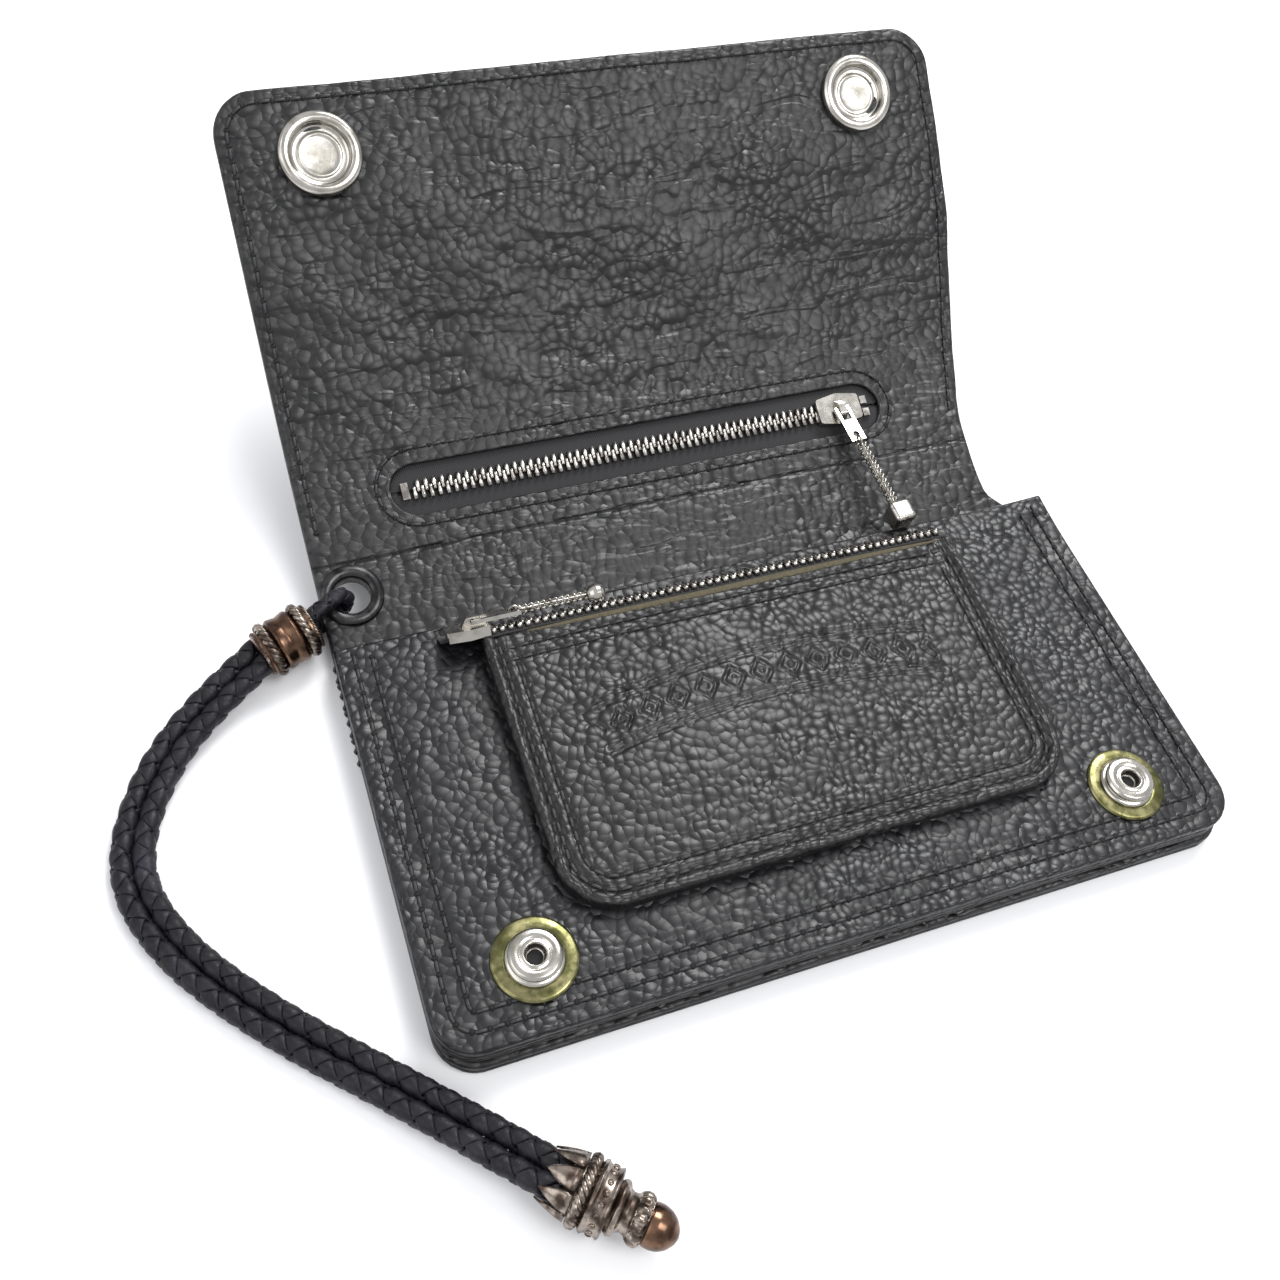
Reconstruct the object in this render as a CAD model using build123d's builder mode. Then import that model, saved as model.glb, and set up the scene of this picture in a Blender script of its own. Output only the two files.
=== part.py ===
"""Chain wallet: a leather long wallet, open, with a snap flap, two zips and a doubled braided strap.

The wallet lies on its back. X runs along the spine, Y from the front edge to the raised flap, Z up.
Depths are measured from the front edge, heights from the surface the wallet lies on.
"""
from build123d import *
import math
import os

os.makedirs("parts", exist_ok=True)

# ---- driving dimensions, mm and degrees -------------------------------------------------------
width = 160.0
half = width / 2
front_y = -91.0  # the front edge, so that the open wallet's box is centred on the origin
corner_r = 8.0

leather = 1.6  # every layer of leather
stack = 2 * leather  # lining and cover, sewn together
panel_height = 8.6  # top of the front panel, the whole sewn stack
panel_depth = 83.0
cover_lip = 1.0  # the two lowest layers stand proud of the front edge

flat_depth = 85.4  # the back lies flat up to here and then lifts towards the spine
fold_a = (89.2, 4.3)  # inner face where the back meets the spine
rise_slope = math.degrees(math.atan2(fold_a[1] - stack, fold_a[0] - flat_depth))
spine_width = 17.0
spine_slope = 18.5
cover_gap = 0.3  # between cover segments at a fold
lining_gap = 1.8  # the lining stops short of each fold, to leave room when it closes
waist_x = 71.5  # the leather narrows to this at the right-hand end of the spine

fold_b = (
    fold_a[0] + spine_width * math.cos(math.radians(spine_slope)),
    fold_a[1] + spine_width * math.sin(math.radians(spine_slope)),
)
flap_line = [
    fold_b,
    (117.0, 13.9),
    (128.0, 19.4),
    (140.0, 28.0),
    (150.0, 37.0),
    (160.0, 46.0),
    (170.4, 54.3),
    (181.0, 62.4),
]
flap_start_slope = 20.5

snap_x = 60.3
stud_depth = 12.7
socket_from_tip = 13.8
stud_flange_r = 7.7
stud_head_r = 5.15
socket_r = 8.3
eyelet_x = -73.5
eyelet_along = 7.2  # from fold_a, along the spine
eyelet_r = 6.5
eyelet_hole_r = 3.7

pocket_left = -52.6
pocket_right = 51.0
pocket_front_depth = 16.5
pocket_mouth_depth = 75.0
pocket_corner_r = 11.0
pocket_low = 1.2  # height of the opening under the pocket's front edge
pocket_high = 3.1  # and at its mouth
pocket_leather = 1.8

tape = 0.4
tooth_pitch = 1.75
tooth_height = 1.1
plate = 1.1  # thickness of a slider's upper plate, over the teeth
crossbar_r = 0.45
crossbar_height = tooth_height + plate + 0.95  # above the tapes
chain_half = 2.1  # half the width of the meshed teeth

leg_d = 3.7  # each of the two braided legs of the strap
leg_offset = 1.95  # of each leg from the strap's centre line
loop_d = 2.2


# ---- helpers ----------------------------------------------------------------------------------
def save(piece, name):
    """Label a finished piece and write it under that name."""
    piece.part.label = name
    export_step(piece.part, f"parts/{name}.step")


def place(x, depth, height):
    """A point given by its depth from the front edge, in the wallet's frame."""
    return Vector(x, front_y + depth, height)


def tilted(origin, slope):
    """A plane through origin that rises towards the rear by slope degrees."""
    angle = math.radians(slope)
    return Plane(origin=origin, x_dir=(1, 0, 0), z_dir=(0, -math.sin(angle), math.cos(angle)))


side_plane = Plane(origin=place(0, 0, 0), x_dir=(0, 1, 0), z_dir=(1, 0, 0))
plan_plane = Plane(origin=place(0, 0, 0))


def along_line(start, slope, distance):
    """A point at a distance from start on a straight slope in degrees."""
    angle = math.radians(slope)
    return start[0] + distance * math.cos(angle), start[1] + distance * math.sin(angle)


def shifted(points, down):
    """A line of points moved outwards by down, away from the wallet's inner face."""
    steps = [math.atan2(b[1] - a[1], b[0] - a[0]) for a, b in zip(points, points[1:])]
    before = steps[:1] + steps
    after = steps + steps[-1:]
    moved = []
    for (depth, height), slope_in, slope_out in zip(points, before, after):
        slope = (slope_in + slope_out) / 2
        reach = down / math.cos((slope_out - slope_in) / 2)
        moved.append((depth + reach * math.sin(slope), height - reach * math.cos(slope)))
    return moved


def turned(name, axis_plane, outline):
    """Save a turned solid. The outline is (distance along the axis, radius) and closes itself."""
    section = Plane(origin=axis_plane.origin, x_dir=axis_plane.z_dir, z_dir=axis_plane.x_dir)
    with BuildPart() as piece:
        with BuildSketch(section):
            with BuildLine():
                Polyline(*outline, close=True)
            make_face()
        revolve(axis=Axis(axis_plane.origin, axis_plane.z_dir))
    save(piece, name)


# ---- the sewn stack of the lower half -----------------------------------------------------------
def stack_outline(start, depth, waisted):
    """Plan of a leather layer with round front corners. Waisted ones narrow at the right rear."""
    turn = panel_depth - 4
    rear_x = waist_x if waisted else half
    with BuildSketch() as plan:
        with BuildLine():
            FilletPolyline((-half, depth), (-half, start), (half, start), (half, turn), radius=corner_r)
            Line((half, turn), (rear_x, depth))
            Line((rear_x, depth), (-half, depth))
        make_face()
    return plan.sketch


def flat_layer(name, depth, low, high, softened):
    """A flat layer of the stack, whose top edges are rounded where they can be touched."""
    outline = stack_outline(0, depth, waisted=False)
    with BuildPart() as piece:
        with BuildSketch(plan_plane.offset(low)):
            add(outline)
        extrude(amount=high - low)
        fillet(piece.faces().sort_by(Axis.Z)[-1].edges(), radius=softened)
    save(piece, name)


def back_layer(name, near, far, end_gap):
    """The lining or cover under the stack, which lifts towards the spine at its rear edge."""
    rear = along_line(fold_a, rise_slope, -end_gap)
    inner = shifted([(-cover_lip, stack), (flat_depth, stack), rear], near)
    outer = shifted([(-cover_lip, stack), (flat_depth, stack), rear], far)
    outline = stack_outline(-cover_lip, rear[0] + stack, waisted=True)
    with BuildPart() as piece:
        with BuildSketch(side_plane):
            with BuildLine():
                Polyline(*inner, *reversed(outer), close=True)
            make_face()
        extrude(amount=half, both=True)
        with BuildSketch(plan_plane):
            add(outline)
        extrude(amount=panel_height, mode=Mode.INTERSECT)
    save(piece, name)


back_layer("back_cover", leather, stack, cover_gap)
back_layer("back_lining", 0, leather, lining_gap + 0.4)
flat_layer("bill_divider", flat_depth - 0.4, stack, stack + leather, 0.3)
flat_layer("card_divider", flat_depth - 1.4, stack + leather, stack + 2 * leather, 0.3)
flat_layer("front_panel", panel_depth, stack + 2 * leather, panel_height, 0.8)

# ---- the coin pocket on the front panel ---------------------------------------------------------
pocket_width = pocket_right - pocket_left
pocket_mid = (pocket_left + pocket_right) / 2
pocket_run = pocket_mouth_depth - pocket_front_depth
pocket_slope = math.degrees(math.atan2(pocket_high - pocket_low, pocket_run))
pocket_base = tilted(place(pocket_mid, pocket_front_depth, panel_height), 0)
pocket_top = tilted(place(pocket_mid, pocket_front_depth, panel_height + pocket_low), pocket_slope)


def pocket_outline(inset, run):
    """Plan of the pocket from its front edge to the mouth, round at the front corners."""
    side = pocket_width / 2 - inset
    with BuildSketch() as plan:
        with BuildLine():
            corner = pocket_corner_r - inset
            FilletPolyline((-side, run), (-side, inset), (side, inset), (side, run), radius=corner)
            Line((side, run), (-side, run))
        make_face()
    return plan.sketch


pocket_whole = pocket_outline(0, pocket_run)
pocket_inside = pocket_outline(2.6, pocket_run + 5)

with BuildPart() as pocket_gusset:
    with BuildSketch(pocket_base):
        add(pocket_whole)
        add(pocket_inside, mode=Mode.SUBTRACT)
    extrude(amount=pocket_high + 2)
    split(bisect_by=pocket_top, keep=Keep.BOTTOM)
save(pocket_gusset, "pocket_gusset")

with BuildPart() as pocket_front:
    with BuildSketch(pocket_top):
        add(pocket_whole)
    extrude(amount=pocket_leather)
    fillet(pocket_front.faces().sort_by(Axis(pocket_top.origin, pocket_top.z_dir))[-1].edges(), 0.6)
save(pocket_front, "pocket_front")


# ---- zips ---------------------------------------------------------------------------------------
def zip_teeth(name, plane, left, right, side):
    """One row of metal teeth. Their tips pass the centre line, between those of the other row."""
    count = int((right - left) / tooth_pitch)
    tip = -0.45 * side
    root = chain_half * side
    shift = tooth_pitch / 4 * side
    with BuildPart() as row:
        with BuildSketch(plane):
            with Locations(((left + right) / 2 + shift, (tip + root) / 2)):
                with GridLocations(tooth_pitch, 1, count, 1):
                    Rectangle(tooth_pitch * 0.44, abs(root - tip))
        extrude(amount=tooth_height)
    save(row, name)


def slider_shell(name, plane, centre, length, breadth):
    """A slider's upper plate, with side lips that run down beside the teeth."""
    end = length / 2
    shoulder = breadth / 2
    with BuildPart() as shell:
        with BuildSketch(plane.offset(0.1)):
            with BuildLine():
                Polyline(
                    (centre - end, shoulder - 0.9),
                    (centre, shoulder),
                    (centre + end, shoulder - 0.9),
                    (centre + end, 0.9 - shoulder),
                    (centre, -shoulder),
                    (centre - end, 0.9 - shoulder),
                    close=True,
                )
            make_face()
            fillet(vertices(), radius=0.8)
        extrude(amount=tooth_height + plate - 0.1)
        with BuildSketch(plane.offset(0.1)):
            with Locations((centre, 0)):
                Rectangle(length * 2, chain_half * 2 + 0.4)
        extrude(amount=tooth_height + 0.1, mode=Mode.SUBTRACT)
    save(shell, name)


def slider_lug(name, pivot):
    """The lug on a slider, with an eye for the pull's crossbar, which lies along the pivot's y."""
    across = Plane(origin=pivot.origin, x_dir=pivot.x_dir, z_dir=-pivot.y_dir)
    foot = tooth_height + plate - crossbar_height
    with BuildPart() as lug:
        with BuildSketch(across):
            with BuildLine():
                Polyline((-2.4, foot), (-1.3, 0.9), (1.3, 0.9), (2.4, foot), close=True)
            make_face()
            fillet(vertices().sort_by(Axis.Y)[-2:], radius=0.6)
            Circle(crossbar_r + 0.12, mode=Mode.SUBTRACT)
        extrude(amount=0.85, both=True)
    save(lug, name)


def pull_tab(name, pull, reach):
    """A pull's crossbar, fork and tab, drawn with x along the pull and y along the crossbar."""
    thick = 0.8
    with BuildPart() as tab:
        with BuildSketch(pull.offset(-thick / 2)):
            with Locations((1.65, 1.45), (1.65, -1.45)):
                Rectangle(4.2, 0.7)
            with Locations(((3.3 + reach) / 2, 0)):
                Rectangle(reach - 3.3, 3.6)
            with Locations((reach - 1.7, 0)):
                Circle(0.75, mode=Mode.SUBTRACT)
        extrude(amount=thick)
        with BuildSketch(Plane(origin=pull.origin, x_dir=pull.x_dir, z_dir=pull.y_dir)):
            Circle(crossbar_r)
        extrude(amount=1.3, both=True)
    save(tab, name)


def chain_between(name, pull, start, end, radius):
    """The fox-tail chain that hangs from a tab, as the space its links fill."""
    with BuildPart() as chain:
        with BuildSketch(Plane(origin=pull.from_local_coords((start, 0, 0)), z_dir=pull.x_dir)):
            Circle(radius)
        extrude(amount=end - start)
    save(chain, name)


# The pocket zip slopes down from the pocket's mouth to the front panel behind it.
pocket_zip = tilted(place(0, 77.2, 11.65), -40.0)
pocket_teeth_left = -50.5
pocket_teeth_right = 50.0
pocket_slider_x = -54.5
pocket_tapes = {
    "pocket_tape_front": (pocket_left + 0.5, -2.25, -0.55),
    "pocket_tape_rear": (pocket_slider_x - 5.5, 0.55, 4.2),
}
for tape_name, (left, near, far) in pocket_tapes.items():
    with BuildPart() as pocket_tape:
        with BuildSketch(pocket_zip.offset(-tape)):
            with Locations(((left + pocket_right - 0.5) / 2, (near + far) / 2)):
                Rectangle(pocket_right - 0.5 - left, far - near)
        extrude(amount=tape)
    save(pocket_tape, tape_name)

zip_teeth("pocket_teeth_front", pocket_zip, pocket_teeth_left, pocket_teeth_right, -1)
zip_teeth("pocket_teeth_rear", pocket_zip, pocket_teeth_left, pocket_teeth_right, 1)
slider_shell("pocket_slider_shell", pocket_zip, pocket_slider_x, 9.0, 6.4)

pocket_pull = Plane(
    origin=pocket_zip.from_local_coords((pocket_slider_x + 1.2, 0, crossbar_height)),
    x_dir=pocket_zip.x_dir,
    z_dir=pocket_zip.z_dir,
)
pocket_ball_r = 2.0
pocket_ball_reach = 25.3
slider_lug("pocket_slider_lug", pocket_pull)
pull_tab("pocket_pull_tab", pocket_pull, 9.5)
chain_end = pocket_ball_reach - pocket_ball_r + 0.2
chain_between("pocket_pull_chain", pocket_pull, 9.5, chain_end, 0.95)
ball_at = pocket_pull.from_local_coords((pocket_ball_reach, 0, 0))
turned(
    "pocket_pull_ball",
    Plane(origin=ball_at, z_dir=pocket_pull.x_dir),
    [
        (0.2 - pocket_ball_r, 0),
        (0.2 - pocket_ball_r, 0.9),
        (-1.41, 1.41),
        (-0.77, 1.85),
        (0, pocket_ball_r),
        (0.77, 1.85),
        (1.41, 1.41),
        (1.85, 0.77),
        (pocket_ball_r, 0),
    ],
)

# The flap zip lies in a slot in the flap's lining, a little below its face.
flap_face = tilted(place(0, 114.6, 12.95), 21.6)
zip_sink = 1.0
flap_zip = flap_face.offset(-zip_sink)
slot_length = 114.0
slot_width = 11.8
slot_x = -4.2
flap_teeth_left = -56.5
flap_teeth_right = 47.0
flap_slider_x = 42.0
flap_tapes = {"flap_tape_lower": 1, "flap_tape_upper": -1}
for tape_name, side in flap_tapes.items():
    with BuildPart() as flap_tape:
        with BuildSketch(flap_zip.offset(-tape)):
            with Locations((slot_x, 0)):
                SlotOverall(slot_length, slot_width)
            with Locations((slot_x, side * (slot_width / 2 - 0.55))):
                Rectangle(slot_length, slot_width, mode=Mode.SUBTRACT)
        extrude(amount=tape)
    save(flap_tape, tape_name)

zip_teeth("flap_teeth_lower", flap_zip, flap_teeth_left, flap_teeth_right, -1)
zip_teeth("flap_teeth_upper", flap_zip, flap_teeth_left, flap_teeth_right, 1)
with BuildPart() as flap_zip_stops:
    with BuildSketch(flap_zip):
        with Locations((flap_teeth_left - 1.4, 0)):
            Rectangle(1.5, 3.6)
        with Locations((flap_teeth_right + 2.0, 1.5), (flap_teeth_right + 2.0, -1.5)):
            Rectangle(1.5, 1.8)
    extrude(amount=0.9)
save(flap_zip_stops, "flap_zip_stops")
slider_shell("flap_slider_shell", flap_zip, flap_slider_x, 10.5, 7.4)

# The flap's pull hangs from its slider across the spine. Its bead rests on the front panel.
bead_half = 2.45
bead_at = place(44.0, 84.2, panel_height + bead_half + 0.25)
pivot_at = flap_zip.from_local_coords((flap_slider_x, -0.6, crossbar_height))
pull_reach = (bead_at - pivot_at).length
pull_dir = (bead_at - pivot_at).normalized()
flap_pull = Plane(origin=pivot_at, x_dir=pull_dir, z_dir=Vector(-1, 0, 0).cross(pull_dir))
lug_plane = Plane(origin=pivot_at, x_dir=-flap_zip.y_dir, z_dir=flap_zip.z_dir)
slider_lug("flap_slider_lug", lug_plane)
pull_tab("flap_pull_tab", flap_pull, 9.0)
chain_between("flap_pull_chain", flap_pull, 10.2, pull_reach - bead_half, 1.2)
with BuildPart() as flap_pull_bead:
    with BuildSketch(flap_pull.offset(-bead_half)):
        with Locations((pull_reach, 0)):
            RectangleRounded(bead_half * 2, bead_half * 2, radius=1.0)
    extrude(amount=bead_half * 2)
    fillet(flap_pull_bead.edges().group_by(Axis(flap_pull.origin, flap_pull.z_dir))[0], radius=0.9)
    fillet(flap_pull_bead.edges().group_by(Axis(flap_pull.origin, flap_pull.z_dir))[-1], radius=0.9)
save(flap_pull_bead, "flap_pull_bead")

# ---- snap studs on the front panel ----------------------------------------------------------------
stud_spots = [(-snap_x, stud_depth), (snap_x, stud_depth)]
with BuildPart() as stud_flanges:
    with BuildSketch(plan_plane.offset(panel_height)):
        with Locations(*stud_spots):
            Circle(stud_flange_r)
    extrude(amount=0.8)
save(stud_flanges, "stud_flanges")

with BuildPart() as stud_heads:
    with BuildSketch(plan_plane.offset(panel_height + 0.8)):
        with Locations(*stud_spots):
            Circle(stud_head_r - 0.4)
            Circle(1.85, mode=Mode.SUBTRACT)
    extrude(amount=0.9)
    with BuildSketch(plan_plane.offset(panel_height + 1.7)):
        with Locations(*stud_spots):
            Circle(stud_head_r)
            Circle(1.85, mode=Mode.SUBTRACT)
    extrude(amount=1.25)
    fillet(stud_heads.edges().group_by(Axis.Z)[-1], radius=0.6)
save(stud_heads, "stud_heads")

# ---- the spine, a strip hinged between the back and the flap --------------------------------------
spine_plane = tilted(place(0, *fold_a), spine_slope)


def spine_layer(name, near, far, end_gap):
    """One of the spine's two layers, between the folds, with the eyelet's hole."""
    with BuildPart() as strip:
        with BuildSketch(spine_plane.offset(-far)):
            with Locations(((waist_x - half) / 2, spine_width / 2)):
                Rectangle(half + waist_x, spine_width - 2 * end_gap)
            with Locations((eyelet_x, eyelet_along)):
                Circle(eyelet_hole_r + 0.5, mode=Mode.SUBTRACT)
        extrude(amount=far - near)
    save(strip, name)


spine_layer("spine_cover", leather, stack, cover_gap)
spine_layer("spine_lining", 0, leather, lining_gap)

eyelet_plane = Plane(
    origin=spine_plane.from_local_coords((eyelet_x, eyelet_along, 0)),
    x_dir=spine_plane.x_dir,
    z_dir=spine_plane.z_dir,
)
turned(
    "eyelet_front",
    eyelet_plane,
    [
        (-stack - 0.3, eyelet_hole_r),
        (-stack - 0.3, eyelet_hole_r + 0.5),
        (0, eyelet_hole_r + 0.5),
        (0, eyelet_r),
        (0.4, eyelet_r - 0.1),
        (0.8, eyelet_r - 0.7),
        (0.95, eyelet_r - 1.5),
        (0.75, eyelet_hole_r + 0.5),
        (0.2, eyelet_hole_r),
    ],
)
turned(
    "eyelet_washer",
    eyelet_plane,
    [
        (-stack - 0.35, eyelet_hole_r + 0.5),
        (-stack - 0.35, eyelet_r - 1.2),
        (-stack, eyelet_r - 1.0),
        (-stack, eyelet_hole_r + 0.5),
    ],
)

# ---- the flap ---------------------------------------------------------------------------------------
tip = flap_line[-1]
flap_length = math.dist(tip, fold_b)
flap_slope = math.degrees(math.atan2(tip[1] - fold_b[1], tip[0] - fold_b[0]))
flap_plane = tilted(place(0, *fold_b), flap_slope)
waist_curve = [(half, 52.0), (78.7, 38.0), (76.5, 24.0), (74.0, 11.8), (waist_x, 1.0)]
flap_corner_r = 9.0

with BuildSketch() as flap_outline:
    with BuildLine():
        FilletPolyline(
            (-half, -10), (-half, flap_length), (half, flap_length), waist_curve[0], radius=flap_corner_r
        )
        Spline(*waist_curve)
        Polyline(waist_curve[-1], (waist_x, -10), (-half, -10))
    make_face()


def flap_layer(near, far, start_gap):
    """One of the flap's two layers: curved in section, with round outer corners in plan."""
    points = [along_line(fold_b, flap_start_slope, start_gap)] + flap_line[1:]
    inner = shifted(points, near)
    outer = shifted(points, far)
    with BuildPart() as piece:
        with BuildSketch(side_plane):
            with BuildLine():
                Spline(*inner)
                Spline(*outer)
                Line(inner[0], outer[0])
                Line(inner[-1], outer[-1])
            make_face()
        extrude(amount=half, both=True)
        with BuildSketch(flap_plane.offset(-12)):
            add(flap_outline.sketch)
        extrude(amount=24, mode=Mode.INTERSECT)
    return piece


flap_cover = flap_layer(leather, stack, cover_gap)
save(flap_cover, "flap_cover")

slot_plane = flap_face.offset(-6)
flap_lining_blank = flap_layer(0, leather, lining_gap)
with BuildPart() as flap_lining:
    add(flap_lining_blank.part)
    with BuildSketch(slot_plane):
        with Locations((slot_x, 0)):
            SlotOverall(slot_length, slot_width)
    extrude(amount=12, mode=Mode.SUBTRACT)
save(flap_lining, "flap_lining")

# ---- snap sockets on the flap ---------------------------------------------------------------------
tip_slope = math.degrees(math.atan2(tip[1] - flap_line[-2][1], tip[0] - flap_line[-2][0]))
socket_spot = along_line(tip, tip_slope, -socket_from_tip)
socket_plane = tilted(place(0, *socket_spot), tip_slope + 0.4).offset(0.06)
cap_plane = socket_plane.offset(-stack - 0.12)
socket_height = 2.2
with BuildPart() as snap_sockets:
    with BuildSketch(socket_plane):
        with Locations((-snap_x, 0), (snap_x, 0)):
            Circle(socket_r)
    extrude(amount=0.3)
    with BuildSketch(socket_plane.offset(0.3)):
        with Locations((-snap_x, 0), (snap_x, 0)):
            Circle(socket_r)
            Circle(5.75, mode=Mode.SUBTRACT)
    extrude(amount=socket_height - 0.3)
    fillet(
        snap_sockets.edges().group_by(Axis(socket_plane.origin, socket_plane.z_dir))[-1], radius=0.6
    )
save(snap_sockets, "snap_sockets")

with BuildPart() as socket_caps:
    with BuildSketch(cap_plane.offset(-1.5)):
        with Locations((-snap_x, 0), (snap_x, 0)):
            Circle(7.75)
    extrude(amount=1.5)
    fillet(
        socket_caps.edges().group_by(Axis(cap_plane.origin, cap_plane.z_dir))[0], radius=1.2
    )
save(socket_caps, "socket_caps")


# ---- the strap: one braided cord, doubled through the eyelet ----------------------------------------
def cord(name, points, diameter):
    """A round cord along hand-laid points, with the gentlest arcs that fit at the turns."""
    path_points = [place(*point) for point in points]
    radii = []
    for before, here, after in zip(path_points, path_points[1:], path_points[2:]):
        turn = (here - before).get_angle(after - here)
        run = min((here - before).length, (after - here).length)
        radii.append(0.45 * run / math.tan(math.radians(turn / 2)))
    start = Plane(origin=path_points[0], z_dir=path_points[1] - path_points[0])
    with BuildPart() as tube:
        with BuildLine() as path:
            FilletPolyline(*path_points, radius=radii)
        with BuildSketch(start):
            Circle(diameter / 2)
        sweep()
    length = path.wires()[0].length
    expected = math.pi * diameter**2 / 4 * length
    print(name, "radii", [round(r, 1) for r in radii], "length", round(length, 1))
    print(name, "volume over section x length", round(tube.part.volume / expected, 3))
    save(tube, name)


strap_route = [
    (-92.6, 87.0, 6.3),
    (-107.0, 78.7, 3.6),
    (-118.3, 65.6, 2.1),
    (-123.6, 50.0, 2.05),
    (-118.0, 34.0, 2.05),
    (-104.0, 16.5, 2.05),
    (-86.0, -0.9, 2.6),
    (-66.2, -22.0, 6.1),
]


def beside(route, offset):
    """The route moved sideways by offset, to the left of its own direction."""
    moved = []
    for i, (x, depth, height) in enumerate(route):
        before = route[max(i - 1, 0)]
        after = route[min(i + 1, len(route) - 1)]
        size = math.hypot(after[0] - before[0], after[1] - before[1])
        side = ((before[1] - after[1]) / size, (after[0] - before[0]) / size)
        moved.append((x + offset * side[0], depth + offset * side[1], height))
    return moved


cord("strap_leg_outer", beside(strap_route, -leg_offset), leg_d)
cord("strap_leg_inner", beside(strap_route, leg_offset), leg_d)
cord(
    "strap_loop",
    [
        (-84.6, 89.9, 8.6),
        (-78.2, 93.9, 9.7),
        (-74.9, 95.9, 8.0),
        (-74.4, 96.9, 3.1),
        (-77.8, 95.9, 1.25),
        (-82.4, 92.9, 1.4),
        (-85.4, 89.6, 5.2),
    ],
    loop_d,
)

bead_from = place(-93.4, 86.7, 6.2)
bead_to = place(-82.0, 90.5, 7.5)
bead_axis = Plane(origin=bead_from, z_dir=bead_to - bead_from)
bead_length = (bead_to - bead_from).length
turned(
    "strap_bead",
    bead_axis,
    [
        (0, 0),
        (0, 4.0),
        (0.7, 4.6),
        (3.9, 4.6),
        (3.9, 5.4),
        (bead_length - 3.9, 5.4),
        (bead_length - 3.9, 4.6),
        (bead_length - 0.7, 4.6),
        (bead_length, 4.0),
        (bead_length, 0),
    ],
)
rope_r = 1.15
with BuildPart() as strap_bead_ropes:
    for station in (2.4, bead_length - 2.4):
        with Locations(bead_axis.offset(station)):
            Torus(4.6, rope_r)
save(strap_bead_ropes, "strap_bead_ropes")

finial_from = place(-67.1, -21.1, 6.25)
finial_to = place(-51.3, -35.9, 6.1)
finial_axis = Plane(origin=finial_from, z_dir=finial_to - finial_from)
turned("finial_cup", finial_axis, [(0, 0), (0, 5.0), (3.6, 5.3), (3.6, 0)])
turned(
    "finial_rope_ring",
    finial_axis,
    [(3.6, 0), (3.6, 5.2), (4.3, 5.9), (5.2, 6.1), (6.1, 5.9), (6.8, 5.2), (6.8, 0)],
)
turned("finial_band", finial_axis, [(6.8, 0), (6.8, 5.6), (7.2, 6.05), (9.4, 6.05), (9.8, 5.6), (9.8, 0)])
turned(
    "finial_neck",
    finial_axis,
    [(9.8, 0), (9.8, 3.9), (10.4, 4.4), (11.0, 4.55), (11.6, 4.4), (12.2, 3.3), (13.6, 3.3), (13.6, 0)],
)
turned(
    "finial_collar",
    finial_axis,
    [(13.6, 0), (13.6, 3.6), (14.4, 4.3), (15.6, 4.4), (16.4, 3.8), (16.4, 0)],
)
turned(
    "finial_dome",
    finial_axis,
    [(16.4, 0), (16.4, 3.5), (18.0, 3.5), (19.6, 3.0), (20.8, 2.1), (21.5, 1.0), (21.65, 0)],
)
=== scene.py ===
"""Looks of the chain wallet: leather, stitching, zips, snaps, braided strap and its metal end piece.

Lengths in this file are in millimetres until at() turns them into the frame's metres. As in the CAD,
depths are measured from the front edge and heights from the surface that the wallet lies on.
"""

import math

import bmesh
import bpy
from mathutils import Matrix, Vector, noise


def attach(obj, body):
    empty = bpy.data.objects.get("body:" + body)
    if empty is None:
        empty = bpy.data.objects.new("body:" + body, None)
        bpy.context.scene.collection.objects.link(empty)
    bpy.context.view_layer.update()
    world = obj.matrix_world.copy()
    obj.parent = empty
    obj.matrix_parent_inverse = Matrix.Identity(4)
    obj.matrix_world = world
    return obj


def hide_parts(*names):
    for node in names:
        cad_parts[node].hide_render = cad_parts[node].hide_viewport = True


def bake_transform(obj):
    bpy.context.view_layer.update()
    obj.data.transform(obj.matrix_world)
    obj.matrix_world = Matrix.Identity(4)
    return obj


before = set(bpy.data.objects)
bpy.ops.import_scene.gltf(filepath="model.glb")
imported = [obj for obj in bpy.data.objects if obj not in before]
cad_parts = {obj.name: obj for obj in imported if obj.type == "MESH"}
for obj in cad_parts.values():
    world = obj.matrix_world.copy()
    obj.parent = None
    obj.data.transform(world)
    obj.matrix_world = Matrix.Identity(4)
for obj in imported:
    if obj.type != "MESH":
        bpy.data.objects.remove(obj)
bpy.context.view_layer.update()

MM = 0.001
UP = Vector((0, 0, 1))

# ---- sizes shared with the CAD ----
half = 80.0
front_y = -91.0
leather = 1.6
stack = 3.2
panel_height = 8.6
panel_depth = 83.0
cover_lip = 1.0
front_round = 8.0
tip_round = 9.0
flat_depth = 85.4
fold_a = (89.2, 4.3)
spine_width = 17.0
spine_slope = 18.5
waist_x = 71.5
snap_x = 60.3
stud_depth = 12.7
eyelet_x = -73.5
eyelet_along = 7.2
pocket_left = -52.6
pocket_right = 51.0
pocket_front_depth = 16.5
pocket_mouth_depth = 75.0
pocket_low = 1.2
pocket_high = 3.1
pocket_leather = 1.8
pocket_round = 11.0
mouth_rows = (3.2, 5.8)
tooth_pitch = 1.75
flap_zip_spot = (114.6, 12.95)
flap_zip_slope = 21.6
slot_length = 114.0
slot_width = 11.8
slot_x = -4.2
zip_sink = 1.0


def at(x, depth, height):
    """A point in the frame, in metres."""
    return Vector((x * MM, (depth + front_y) * MM, height * MM))


def along_line(start, slope, distance):
    """A point at a distance from start on a straight slope in degrees."""
    angle = math.radians(slope)
    return start[0] + distance * math.cos(angle), start[1] + distance * math.sin(angle)


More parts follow.
